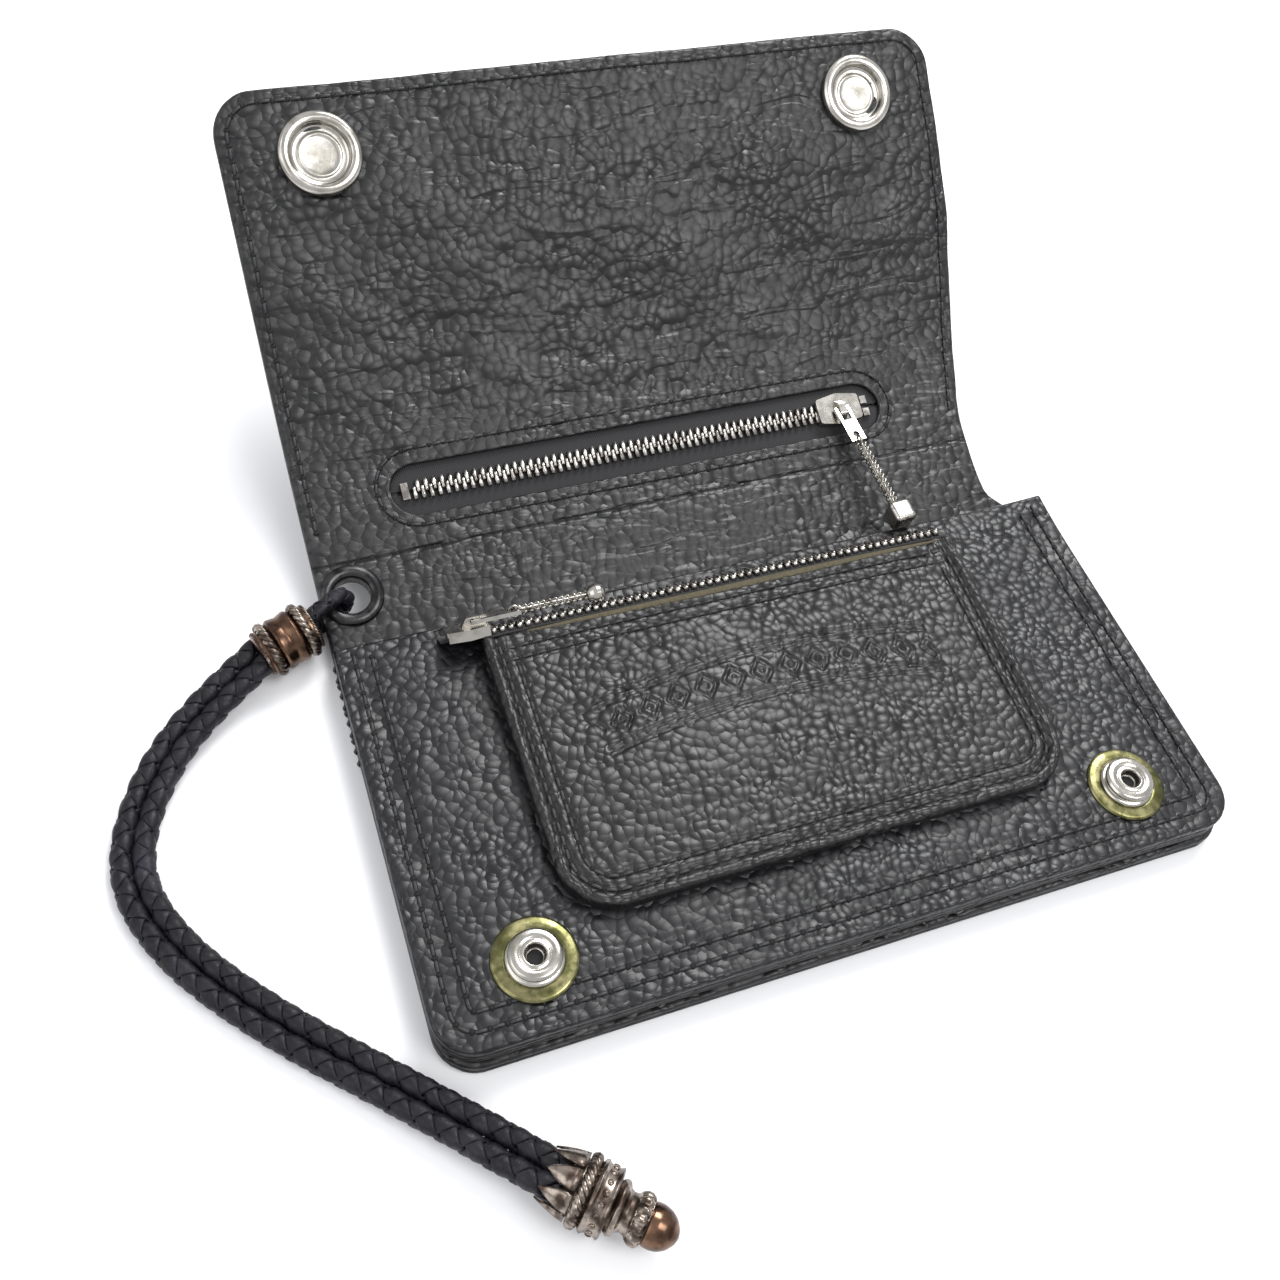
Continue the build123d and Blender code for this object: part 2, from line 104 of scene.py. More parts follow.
fold_b = along_line(fold_a, spine_slope, spine_width)
flap_line = [fold_b, (117, 13.9), (128, 19.4), (140, 28), (150, 37), (160, 46), (170.4, 54.3), (181, 62.4)]


def square_to(slope):
    """Unit vector square to a slope in degrees, pointing up."""
    angle = math.radians(slope)
    return Vector((0, -math.sin(angle), math.cos(angle)))


class Plane:
    """A sloping plane: x along it, across towards the rear, lift above it."""

    def __init__(self, spot, slope, sink=0.0):
        self.spot = spot
        self.up = square_to(slope)
        self.back = self.up.cross(Vector((1, 0, 0)))
        self.sink = sink

    def point(self, x, across, lift):
        return at(x, *self.spot) + self.back * (across * MM) + self.up * ((lift - self.sink) * MM)


# ---- camera ----
def aim_camera():
    """The photograph's camera: above and to the left of the front edge, rolled by twelve degrees."""
    azimuth, elevation, roll = (math.radians(a) for a in (29.08, 56.05, 11.77))
    forward = Vector(
        (
            math.sin(azimuth) * math.cos(elevation),
            math.cos(azimuth) * math.cos(elevation),
            -math.sin(elevation),
        )
    )
    right = Vector((math.cos(azimuth), -math.sin(azimuth), 0))
    down = forward.cross(right)
    across = math.cos(roll) * right - math.sin(roll) * down
    below = math.sin(roll) * right + math.cos(roll) * down
    data = bpy.data.cameras.new("camera")
    data.sensor_width = 36.0
    data.lens = 36.08
    data.clip_start = 0.01
    camera = bpy.data.objects.new("camera", data)
    bpy.context.scene.collection.objects.link(camera)
    turn = Matrix((across, -below, -forward)).transposed()
    camera.matrix_world = Matrix.Translation(at(-91.1, -56.0, 222.1)) @ turn.to_4x4()
    bpy.context.scene.camera = camera


aim_camera()


# ---- materials ----
class Paint:
    """A node material with one shader, and short calls to add and join nodes."""

    def __init__(self, name, color, roughness, metallic=0.0, **sockets):
        self.material = bpy.data.materials.new(name)
        self.material.use_nodes = True
        self.tree = self.material.node_tree
        self.shader = self.tree.nodes["Principled BSDF"]
        self.shader.inputs["Base Color"].default_value = (*color, 1)
        self.shader.inputs["Roughness"].default_value = roughness
        self.shader.inputs["Metallic"].default_value = metallic
        for socket, value in sockets.items():
            self.shader.inputs[socket.replace("_", " ")].default_value = value
        self.where = self.node("ShaderNodeTexCoord").outputs["Object"]

    def node(self, kind, **settings):
        made = self.tree.nodes.new(kind)
        for key, value in settings.items():
            setattr(made, key, value)
        return made

    def join(self, source, target):
        self.tree.links.new(source, target)

    def stretched(self, scale, turn=(0, 0, 0)):
        """Object coordinates scaled by three factors."""
        mapping = self.node("ShaderNodeMapping")
        mapping.inputs["Scale"].default_value = scale
        mapping.inputs["Rotation"].default_value = turn
        self.join(self.where, mapping.inputs["Vector"])
        return mapping.outputs["Vector"]

    def noise(self, scale, detail=4.0, where=None, distortion=0.0):
        made = self.node("ShaderNodeTexNoise")
        made.inputs["Scale"].default_value = scale
        made.inputs["Detail"].default_value = detail
        made.inputs["Distortion"].default_value = distortion
        self.join(where or self.where, made.inputs["Vector"])
        return made.outputs["Fac"]

    def cells(self, scale, where=None, feature="DISTANCE_TO_EDGE"):
        made = self.node("ShaderNodeTexVoronoi", feature=feature)
        made.inputs["Scale"].default_value = scale
        self.join(where or self.where, made.inputs["Vector"])
        return made.outputs["Distance"]

    def shaken(self, scale, amount):
        """Object coordinates moved about by noise, so that a regular pattern turns irregular."""
        made = self.node("ShaderNodeTexNoise")
        made.inputs["Scale"].default_value = scale
        made.inputs["Detail"].default_value = 0.0
        self.join(self.where, made.inputs["Vector"])
        add = self.node("ShaderNodeVectorMath", operation="MULTIPLY_ADD")
        self.join(made.outputs["Color"], add.inputs[0])
        add.inputs[1].default_value = (amount, amount, amount)
        self.join(self.where, add.inputs[2])
        return add.outputs["Vector"]

    def fit(self, value, low, high, to_low, to_high):
        """A value mapped from one range to another, smoothly and clamped."""
        made = self.node("ShaderNodeMapRange", interpolation_type="SMOOTHSTEP")
        for index, number in enumerate((low, high, to_low, to_high), start=1):
            made.inputs[index].default_value = number
        self.join(value, made.inputs[0])
        return made.outputs[0]

    def math(self, operation, a, b):
        made = self.node("ShaderNodeMath", operation=operation)
        for socket, value in zip(made.inputs, (a, b)):
            if isinstance(value, (int, float)):
                socket.default_value = value
            else:
                self.join(value, socket)
        return made.outputs[0]

    def mix(self, factor, a, b):
        made = self.node("ShaderNodeMix", data_type="RGBA")
        self.join(factor, made.inputs["Factor"])
        for socket, value in ((made.inputs[6], a), (made.inputs[7], b)):
            if isinstance(value, tuple):
                socket.default_value = (*value, 1)
            else:
                self.join(value, socket)
        return made.outputs[2]

    def bump(self, height, distance, strength=1.0, under=None):
        made = self.node("ShaderNodeBump")
        made.inputs["Distance"].default_value = distance
        made.inputs["Strength"].default_value = strength
        self.join(height, made.inputs["Height"])
        if under is not None:
            self.join(under, made.inputs["Normal"])
        self.join(made.outputs["Normal"], self.shader.inputs["Normal"])
        return made.outputs["Normal"]

    def color(self, value):
        self.join(value, self.shader.inputs["Base Color"])

    def roughness(self, value):
        self.join(value, self.shader.inputs["Roughness"])


def pebbled_leather(name, dark, light, grain, wrinkle, rough):
    """Drum-milled leather: soft pebbles of uneven size, long creases along the fold, and pebble tops painted
    lighter, partly as wear and partly as painted highlight, with painted shade in the creases between them.
    """
    paint = Paint(name, dark, rough[0], Specular_IOR_Level=0.42)
    shaken = paint.shaken(240.0, 0.0012)
    from_middle = paint.cells(grain, shaken, "F1")
    domes = paint.math("MULTIPLY", paint.math("MULTIPLY", from_middle, from_middle), -1.7)
    softness = paint.fit(paint.noise(45.0, 1.0), 0.36, 0.64, 0.55, 1.0)
    relief = paint.math("MULTIPLY", domes, softness)
    drawn_out = paint.noise(1.0, 1.0, paint.stretched((60.0, 210.0, 210.0)), 1.0)
    creases = paint.fit(drawn_out, 0.36, 0.56, 0.0, 1.0)
    relief = paint.math("ADD", relief, paint.math("MULTIPLY", creases, wrinkle))
    pores = paint.noise(4200.0, 2.0)
    under = paint.bump(pores, 0.00003, 0.3)
    paint.bump(relief, 0.00031, 1.0, under)
    # Painted highlight and painted shade: pebble tops lighter and the creases between them darker, broken up
    # by noise as wear.
    lit_pebble_tops = paint.fit(from_middle, 0.1, 0.62, 1.0, 0.0)
    lighter_share = paint.math("MULTIPLY", lit_pebble_tops, paint.fit(paint.noise(30.0, 3.0), 0.35, 0.7, 0.3, 1.0))
    paint.color(paint.mix(lighter_share, dark, light))
    paint.roughness(paint.fit(paint.noise(160.0, 4.0), 0.3, 0.7, rough[0], rough[1]))
    return paint.material


cover_leather = pebbled_leather(
    "cover_leather", (0.006, 0.006, 0.007), (0.02, 0.0195, 0.021), 500.0, 0.3, (0.34, 0.46)
)
panel_leather = pebbled_leather(
    "panel_leather", (0.0045, 0.0045, 0.0055), (0.016, 0.016, 0.018), 540.0, 0.12, (0.32, 0.44)
)
flap_leather = pebbled_leather(
    "flap_leather", (0.007, 0.007, 0.0075), (0.024, 0.0235, 0.0245), 470.0, 0.5, (0.33, 0.45)
)
pocket_leather_paint = pebbled_leather(
    "pocket_leather", (0.0045, 0.0043, 0.0045), (0.016, 0.0155, 0.016), 540.0, 0.06, (0.31, 0.43)
)


def cut_edge():
    """The dyed and burnished cut edges of the leather, with the layers showing faintly."""
    paint = Paint("cut_edge", (0.008, 0.007, 0.008), 0.36)
    layers = paint.noise(1.0, 3.0, paint.stretched((60.0, 60.0, 2600.0)))
    seen = paint.fit(layers, 0.4, 0.7, 0.0, 1.0)
    paint.color(paint.mix(seen, (0.005, 0.0045, 0.006), (0.018, 0.016, 0.016)))
    paint.bump(layers, 0.0001, 0.5)
    return paint.material


def fibrous(name, color, rough, grain, dark, light, bump):
    """A dull material whose colour and height follow one fine noise."""
    paint = Paint(name, color, rough)
    fibres = paint.noise(*grain)
    paint.color(paint.mix(fibres, dark, light))
    paint.bump(fibres, *bump)
    return paint.material


def woven_tape():
    """Black zip tape, a fine twill."""
    paint = Paint("zip_tape", (0.012, 0.012, 0.013), 0.82, Sheen_Weight=0.15)
    weave = paint.node("ShaderNodeTexWave")
    weave.inputs["Scale"].default_value = 900.0
    paint.join(paint.stretched((1.0, 0.8, 0.8), (0, 0, 0.7)), weave.inputs["Vector"])
    paint.color(paint.mix(weave.outputs["Fac"], (0.007, 0.007, 0.008), (0.022, 0.022, 0.024)))
    paint.bump(weave.outputs["Fac"], 0.00012, 0.7)
    return paint.material


def braid_leather_paint():
    """Flat laces cut from the same black leather, smooth on top and fuzzy at the edges."""
    paint = Paint("braid_leather", (0.006, 0.0055, 0.009), 0.55, Specular_IOR_Level=0.3)
    grain = paint.noise(900.0, 6.0)
    cracks = paint.cells(1100.0, paint.shaken(500.0, 0.0008))
    lighter_share = paint.fit(paint.noise(140.0, 4.0), 0.45, 0.75, 0.0, 1.0)
    paint.color(paint.mix(lighter_share, (0.004, 0.0035, 0.006), (0.018, 0.016, 0.024)))
    under = paint.bump(cracks, 0.00012, 0.5)
    paint.bump(grain, 0.0002, 0.6, under)
    paint.roughness(paint.fit(grain, 0.35, 0.7, 0.42, 0.66))
    return paint.material


def metal(name, bright, dull, rough, patina_scale=260.0, patina=(0.45, 0.62), dents=0.00006):
    """Cast or turned metal with a darker patina in blotches, fine scratches and slight dents."""
    paint = Paint(name, bright, rough[0], 1.0)
    blotches = paint.fit(paint.noise(patina_scale, 5.0), patina[0], patina[1], 0.0, 1.0)
    paint.color(paint.mix(blotches, bright, dull))
    scratches = paint.noise(1.0, 6.0, paint.stretched((5200.0, 900.0, 2600.0), (0.3, 0.2, 0.9)))
    paint.roughness(paint.fit(paint.noise(420.0, 5.0), 0.3, 0.7, rough[0], rough[1]))
    under = paint.bump(scratches, 0.00001, 0.5)
    paint.bump(paint.noise(300.0, 2.0), dents, 0.5, under)
    return paint.material


nickel = metal("nickel", (0.5, 0.48, 0.44), (0.34, 0.32, 0.28), (0.17, 0.28), 260.0, (0.45, 0.7), 0.00002)
tooth_metal = metal("tooth_metal", (0.55, 0.53, 0.49), (0.24, 0.22, 0.2), (0.2, 0.34), 500.0)
silver = metal("silver", (0.5, 0.48, 0.44), (0.17, 0.155, 0.135), (0.18, 0.32), 420.0, (0.42, 0.66))
aged_silver = metal(
    "aged_silver", (0.33, 0.28, 0.24), (0.06, 0.043, 0.034), (0.22, 0.4), 420.0, (0.34, 0.6), 0.00012
)
bronze = metal("bronze", (0.17, 0.1, 0.065), (0.05, 0.028, 0.02), (0.18, 0.34), 300.0, (0.4, 0.66))
gunmetal = metal("gunmetal", (0.06, 0.058, 0.058), (0.022, 0.021, 0.022), (0.24, 0.4), 300.0)
brass_patina = metal("brass_patina", (0.26, 0.24, 0.12), (0.1, 0.1, 0.04), (0.22, 0.4), 380.0, (0.36, 0.6))
# Near-black paint for painted shade inside the stitch holes and at the bottom of each stud's hole.
painted_hole_shade = Paint("painted_hole_shade", (0.004, 0.004, 0.004), 0.8).material
edge_paint = cut_edge()
suede_paint = fibrous(
    "suede", (0.05, 0.04, 0.025), 0.9, (1500.0, 5.0), (0.03, 0.026, 0.015), (0.12, 0.1, 0.058), (0.0002, 0.8)
)
tape_paint = woven_tape()
thread = fibrous(
    "thread", (0.008, 0.008, 0.009), 0.5, (2600.0, 2.0), (0.005, 0.005, 0.006), (0.02, 0.02, 0.022),
    (0.00008, 0.6),
)
braid_paint = braid_leather_paint()


# ---- mesh helpers ----
def settle(obj, body, nodes=(), slot=None):
    """Rides a piece on a body and lets it stand for CAD nodes."""
    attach(obj, body)
    if nodes:
        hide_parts(*nodes)
    return obj


class Parts:
    """Collects skins over closed rings, which have equal numbers of points, into one mesh."""

    def __init__(self):
        self.points = []
        self.faces = []

    def add(self, rings, capped=True, looped=False):
        """A skin over rings. A capped one has closed ends, and a looped one joins its ends."""
        base = len(self.points)
        size = len(rings[0])
        count = len(rings)
        self.points.extend(p for ring in rings for p in ring)
        for i in range(count if looped else count - 1):
            here = base + i * size
            after = base + (i + 1) % count * size
            for j in range(size):
                k = (j + 1) % size
                self.faces.append((here + j, here + k, after + k, after + j))
        if capped and not looped:
            self.faces.append(tuple(range(base, base + size)))
            self.faces.append(tuple(range(base + (count - 1) * size, base + count * size)))

    def make(self, name, material, smooth=True):
        """The mesh object, with points that coincide joined and its faces turned outwards."""
        mesh = bpy.data.meshes.new(name)
        mesh.from_pydata([tuple(p) for p in self.points], [], self.faces)
        shape = bmesh.new()
        shape.from_mesh(mesh)
        bmesh.ops.remove_doubles(shape, verts=shape.verts, dist=1e-7)
        bmesh.ops.recalc_face_normals(shape, faces=shape.faces)
        shape.to_mesh(mesh)
        shape.free()
        mesh.materials.append(material)
        for face in mesh.polygons:
            face.use_smooth = smooth
        made = bpy.data.objects.new(name, mesh)
        bpy.context.scene.collection.objects.link(made)
        return made

    def place(self, name, material, *where, smooth=True):
        """The mesh, ridden on a body. where is what settle() takes after the object."""
        return settle(self.make(name, material, smooth), *where)


def basis(axis, near=None):
    """Two unit vectors square to axis, the first as close to near as it can be."""
    axis = axis.normalized()
    near = near or (Vector((1, 0, 0)) if abs(axis.x) < 0.9 else Vector((0, 1, 0)))
    first = (near - axis * near.dot(axis)).normalized()
    return first, axis.cross(first)


def oval(centre, first, second, width, height, count):
    """Points round an oval with two half axes in mm along two directions."""
    return [
        centre + first * (width * MM * math.cos(a)) + second * (height * MM * math.sin(a))
        for a in (math.tau * k / count for k in range(count))
    ]


def turned(origin, axis, outline, segments=56, flutes=None):
    """Rings of a turned shape. outline is (distance along the axis, radius) in mm.
    flutes is (how many, how deep, first and last distance) and waves the radius."""
    first, second = basis(axis)
    axis = axis.normalized()
    rings = []
    for height, radius in outline:
        ring = []
        for j in range(segments):
            angle = math.tau * j / segments
            r = radius
            if flutes and flutes[2] <= height <= flutes[3]:
                r -= flutes[1] * (0.5 - 0.5 * math.cos(flutes[0] * angle))
            offset = first * math.cos(angle) + second * math.sin(angle)
            ring.append(origin + axis * (height * MM) + offset * (r * MM))
        rings.append(ring)
    return rings


def soft_outline(outline, steps=4, reach=0.3):
    """An outline with its corners eased: points added on a smooth curve near each one."""
    eased = [outline[0]]
    for a, b, c in zip(outline, outline[1:], outline[2:]):
        into = [b[k] + (a[k] - b[k]) * reach for k in (0, 1)]
        out = [b[k] + (c[k] - b[k]) * reach for k in (0, 1)]
        for i in range(steps + 1):
            t = i / steps
            weights = ((1 - t) ** 2, 2 * t * (1 - t), t * t)
            eased.append(tuple(sum(w * q[k] for w, q in zip(weights, (into, b, out))) for k in (0, 1)))
    return eased + [outline[-1]]


def lathe(name, spots, axis, outline, material, where, segments=56, flutes=None, eased=True):
    """A turned piece, alike at each of the spots, settled where it belongs."""
    parts = Parts()
    shape = soft_outline(outline) if eased else outline
    for spot in spots:
        parts.add(turned(spot, axis, shape, segments, flutes), capped=False)
    parts.place(name, material, *where)


def headings(points):
    """Unit direction at each point of an open line."""
    last = len(points) - 1
    return [(points[min(i + 1, last)] - points[max(i - 1, 0)]).normalized() for i in range(last + 1)]


def tube(points, radius, sides=10, flat=1.0, side=None):
    """Rings of a round or flattened tube along points in metres, carried along without twist."""
    rings = []
    for point, along in zip(points, headings(points)):
        side = basis(along, side)[0]
        rings.append(oval(point, side, along.cross(side), radius, radius * flat, sides))
    return rings


def closed_wire(points, radius, sides, near):
    """Rings of a round wire along a closed line of points."""
    rings = []
    for k, point in enumerate(points):
        heading = points[(k + 1) % len(points)] - points[k - 1]
        rings.append(oval(point, *basis(heading, near), radius, radius, sides))
    return rings


def distances(points):
    """How far along a line each of its points is."""
    run = [0.0]
    for a, b in zip(points, points[1:]):
        run.append(run[-1] + math.dist(a, b))
    return run


def locate(run, distance):
    """Which stretch of a line holds a distance, and the share of the stretch that lies before it."""
    low, high = 0, len(run) - 2
    while low < high:
        middle = (low + high + 1) // 2
        if run[middle] <= distance:
            low = middle
        else:
            high = middle - 1
    return low, (distance - run[low]) / max(run[low + 1] - run[low], 1e-12)


def frange(start, end, step):
    """Even numbers from start to end, both included, about step apart."""
    count = max(1, round((end - start) / step))
    return [start + (end - start) * i / count for i in range(count + 1)]


# ---- the leather's section line ----
def curve_through(points, step=1.0):
    """A smooth line through points, sampled about every step."""
    before = [2 * points[0][k] - points[1][k] for k in (0, 1)]
    after = [2 * points[-1][k] - points[-2][k] for k in (0, 1)]
    held = [before, *points, after]
    line = []
    for a, b, c, d in zip(held, held[1:], held[2:], held[3:]):
        count = max(2, round(math.dist(b, c) / step))
        for t in (i / count for i in range(count)):
            square = t * t
            cube = t * square
            early = (2 * square - t - cube, 2 - 5 * square + 3 * cube)
            late = (t + 4 * square - 3 * cube, cube - square)
            weights = early + late
            line.append(tuple(0.5 * sum(w * q[k] for w, q in zip(weights, (a, b, c, d))) for k in (0, 1)))
    return line + [points[-1]]


def straight(start, end, step=1.0):
    """Points on a straight line, about step apart."""
    count = max(1, round(math.dist(start, end) / step))
    return [tuple(start[k] + (end[k] - start[k]) * i / count for k in (0, 1)) for i in range(count + 1)]


class Line:
    """A section line of a leather layer's upper face, looked up by the distance along it."""

    def __init__(self, points):
        self.points = points
        self.run = distances(points)
        self.length = self.run[-1]

    def find(self, u):
        """(depth, height) at distance u."""
        index, share = locate(self.run, u)
        a, b = self.points[index], self.points[index + 1]
        return a[0] + (b[0] - a[0]) * share, a[1] + (b[1] - a[1]) * share

    def direction(self, u, reach=1.5):
        """Unit direction at u, smoothed over reach each way."""
        before = self.find(max(u - reach, 0))
        after = self.find(min(u + reach, self.length))
        size = math.dist(before, after)
        return (after[0] - before[0]) / size, (after[1] - before[1]) / size

    def point(self, x, u, lift):
        """A point lift above the line."""
        depth, height = self.find(u)
        along = self.direction(u)
        return at(x, depth - lift * along[1], height + lift * along[0])

    def normal(self, u):
        along = self.direction(u)
        return Vector((0, -along[1], along[0]))

    def at_depth(self, depth):
        """The distance along the line at which it reaches a depth."""
        return next(self.run[i] for i, p in enumerate(self.points) if p[0] >= depth)


whole_line = Line(
    straight((-cover_lip, stack), (flat_depth, stack))[:-1]
    + straight((flat_depth, stack), fold_a)[:-1]
    + straight(fold_a, fold_b)[:-1]
    + curve_through(flap_line)
)
u_fold_a = whole_line.at_depth(fold_a[0])
u_fold_b = whole_line.at_depth(fold_b[0])
u_split = u_fold_a + 14.2  # between the eyelet and the flap's fold


def between(value, knots):
    """A value on a smooth curve through (position, value) knots, level at both ends."""
    slopes = [0.0]
    for (a, low), (c, high) in zip(knots, knots[2:]):
        slopes.append((high - low) / (c - a))
    slopes.append(0.0)
    if value <= knots[0][0]:
        return knots[0][1]
    for index, ((a, low), (b, high)) in enumerate(zip(knots, knots[1:])):
        if value <= b:
            t = (value - a) / (b - a)
            ease = t * t * (3 - 2 * t)
            lead = (b - a) * (t * (1 - t) ** 2 * slopes[index] - t * t * (1 - t) * slopes[index + 1])
            return low + (high - low) * ease + lead
    return knots[-1][1]


def corner_inset(distance, radius):
    """How far a round corner pulls the side in, at a distance from the end."""
    if distance >= radius:
        return 0.0
    return radius - math.sqrt(max(0.0, radius**2 - (radius - distance) ** 2))


def right_edge(u):
    """The right-hand edge of the cover and lining, waisted beside the spine."""
    before = [(u_fold_a - 9, half), (u_fold_a - 3, 74.5), (u_fold_a + 1, waist_x)]
    after = ((0, waist_x), (6, 72.4), (12, 74.0), (24, 76.6), (38, 78.8), (52, half))
    return between(u, before + [(u_fold_b + beyond, x) for beyond, x in after])


def whole_sides(u):
    """Left and right edges of the cover and lining at a distance along the line."""
    inset = corner_inset(u, front_round) + corner_inset(whole_line.length - u, tip_round)
    return -half + inset, right_edge(u) - inset


def side_arc(line, x, u, sign, top, bottom, radius, lift):
    """Points round a side's cut edge, from the upper face down. lift is the upper face's relief there."""
    flat = (bottom - top) / 2 - radius
    arc = []
    for degrees in (60, 30, 0, -30, -60):
        a = math.radians(degrees)
        level = (top + bottom) / 2 - flat * ((degrees > 0) - (degrees < 0)) - radius * math.sin(a)
        raised = lift * (0.5 + 0.5 * math.sin(a))
        arc.append(line.point(x + sign * radius * math.cos(a), u, raised - level))
    return arc


def no_relief(x, u):
    return 0.0


def shell(name, line, start, end, near, far, sides, material, edges=(True, True), relief=no_relief, step=1.3):
    """A leather layer between two depths under a section line, with rounded cut edges.
    sides gives its left and right edge, and relief a height added to its upper face."""
    round_r = min(0.5 * (far - near), 0.8)
    clear = 0.4
    eased = [round_r * (1 - math.cos(math.radians(a))) for a in (0, 25, 50, 70, 90)]
    count = max(4, int((end - start) / step))
    inner = [start + (end - start) * i / count for i in range(1, count)]
    first = [start + s for s in (eased if edges[0] else [0.0])]
    last = [end - s for s in (reversed(eased) if edges[1] else [0.0])]
    columns = int(2 * half / step)
    rings = []
    for u in first + [u for u in inner if first[-1] + clear < u < end - round_r - clear] + last:
        gone_start = corner_inset(u - start, round_r) if edges[0] else 0.0
        gone_end = corner_inset(end - u, round_r) if edges[1] else 0.0
        gone = max(gone_start, gone_end)
        top = near + gone
        bottom = far - gone
        left, right = sides(u)
        side_r = min(round_r, (bottom - top) / 2)
        width = right - left - 2 * side_r
        across = [left + side_r + width * i / columns for i in range(columns + 1)]
        ring = [line.point(x, u, relief(x, u) - top) for x in across]
        ring += side_arc(line, right - side_r, u, 1, top, bottom, side_r, relief(right, u))
        ring += [line.point(x, u, -bottom) for x in reversed(across)]
        ring += reversed(side_arc(line, left + side_r, u, -1, top, bottom, side_r, relief(left, u)))
        rings.append(ring)
    layer = Parts()
    layer.add(rings)
    return layer.make(name, material)


def ridge(distance, width):
    """A soft ridge: 1 at distance 0, fading over width."""
    return math.exp(-((distance / width) ** 2))


def rolling(x, u, size, seed):
    """Soft unevenness of worn leather, in mm."""
    return size * noise.fractal(Vector((x / 26 + seed, u / 19, seed)), 0.8, 2.0, 3)


def cut_through(obj, cutter):
    """Cuts a hole in a mesh and removes the cutter."""
    modifier = obj.modifiers.new("hole", "BOOLEAN")
    modifier.operation = "DIFFERENCE"
    modifier.object = cutter
    modifier.solver = "EXACT"
    bpy.context.view_layer.update()
    cut = bpy.data.meshes.new_from_object(obj.evaluated_get(bpy.context.evaluated_depsgraph_get()))
    obj.modifiers.remove(modifier)
    obj.data = cut
    for face in cut.polygons:
        face.use_smooth = True
    bpy.data.objects.remove(cutter)


# ---- covers and linings ----
spine_up = square_to(spine_slope)
eyelet_at = at(eyelet_x, *along_line(fold_a, spine_slope, eyelet_along))
slot_plane = Plane(flap_zip_spot, flap_zip_slope)


def body_relief(x, u):
    """The flap's slow waves, and the creases that run along its fold and round its zip."""
    past_fold = u - u_fold_b - 3
    if past_fold <= 0:
        return 0.0
    edge = min(half - 2 - abs(x), whole_line.length - u)
    calm = min(1.0, past_fold / 12) * max(0.0, min(1.0, edge / 9))
    across = u - whole_line.at_depth(flap_zip_spot[0])
    beyond_slot = max(abs(across) - slot_width / 2, abs(x - slot_x) - slot_length / 2)
    near_zip = max(0.0, min(1.0, (beyond_slot - 1.2) / 4))
    folds = noise.fractal(Vector((x / 17 + 9, u / 4.2, 2.0)), 0.7, 2.1, 2)
    strength = 0.16 + 0.34 * max(0.0, 1 - abs(u - u_fold_b - 24) / 34)
    return near_zip * (calm * strength * folds + min(1.0, past_fold / 25) * rolling(x, u, 0.6, 3.0))


def half_shell(name, upper, near, material, *more):
    """The cover or the lining, below or above the split, reaching from near to one leather lower."""
    span = (u_split, whole_line.length) if upper else (0, u_split)
    cut_ends = (not upper, upper)
    return shell(name, whole_line, *span, near, near + leather, whole_sides, material, cut_ends, *more)


cover_lower = half_shell("cover_lower", False, leather, cover_leather)
lining_lower = half_shell("lining_lower", False, 0, flap_leather)
cover_upper = half_shell("cover_upper", True, leather, cover_leather)
lining_upper = half_shell("lining_upper", True, 0, flap_leather, body_relief, 0.9)
for part in (cover_lower, lining_lower):
    hole = Parts()
    hole.add(turned(eyelet_at, spine_up, [(-9, 4.1), (6, 4.1)], 40))
    cut_through(part, hole.make("eyelet_cutter", cover_leather))

def slot_path(grow, count=14):
    """Points round the flap's zip slot as (x, across), grown outwards."""
    straight_half = (slot_length - slot_width) / 2
    r = slot_width / 2 + grow
    path = []
    for centre, turn in ((straight_half, -90), (-straight_half, 90)):
        for i in range(count + 1):
            a = math.radians(turn + 180 * i / count)
            path.append((slot_x + centre + r * math.cos(a), r * math.sin(a)))
    return path


slot_cutter = Parts()
slot_cutter.add([[slot_plane.point(x, a, lift) for x, a in slot_path(0)] for lift in (-1.55, 6)])
cut_through(lining_upper, slot_cutter.make("slot_cutter", cover_leather))

rim_path = [slot_plane.point(x, a, -0.25) for x, a in slot_path(0.25, 20)]
rim_rings = []
for i, point in enumerate(rim_path):
    outward = (point - rim_path[i - 1]).cross(slot_plane.up).normalized()
    rim_rings.append(oval(point, outward, slot_plane.up, 0.62, 0.34, 8))
rim = Parts()
rim.add(rim_rings, looped=True)
rim.place("slot_rim", flap_leather, "flap", (), "lining_leather")

fold_b_span = [at(0, fold_b[0] + shift, fold_b[1]) for shift in (-2.6, 3.2)]


def bend(obj, nodes):
    """Bakes a piece's placement into its mesh and lets it stand for CAD nodes; the piece rides no body."""
    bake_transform(obj)
    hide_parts(*nodes)


bend(cover_lower, ("back_cover", "spine_cover"))
bend(lining_lower, ("back_lining", "spine_lining"))
bend(cover_upper, ("flap_cover",))
bend(lining_upper, ("flap_lining",))


# ---- the stack of dividers and the front panel ----
def flat_sides(u):
    inset = corner_inset(u, front_round)
    return -half + inset, half - inset


def panel_relief(x, u):
    """The front panel: slow waves, a curled rear right corner, and seams pulled down by the stitching."""
    edge = min(half - abs(x), u)
    seam = -0.32 * ridge(edge - 5.2, 2.6) if u < 78 else 0.0
    fade = min(1.0, edge / 10)
    curl = 0.9 * max(0.0, (x - 62) / 18) ** 2 * max(0.0, (u - 68) / 15) ** 2
    return rolling(x, u, 0.22, 8.0) * fade + seam + curl


for level, name, short in ((1, "bill_divider", 0.4), (2, "card_divider", 1.4)):
    base = stack + level * leather
    depth = flat_depth - short
    line = Line(straight((0, base), (depth, base)))
    layer = shell(name + "_leather", line, 0, depth, 0.04, leather - 0.02, flat_sides, flap_leather)
    settle(layer, "body", (name,), "lining_leather")

panel_line = Line(straight((0, panel_height), (panel_depth, panel_height)))
panel_thick = panel_height - stack - 2 * leather
panel = shell(
    "front_panel_leather", panel_line, 0, panel_depth, 0, panel_thick, flat_sides, panel_leather,
    relief=panel_relief,
)
settle(panel, "body", ("front_panel",), "cover_leather")

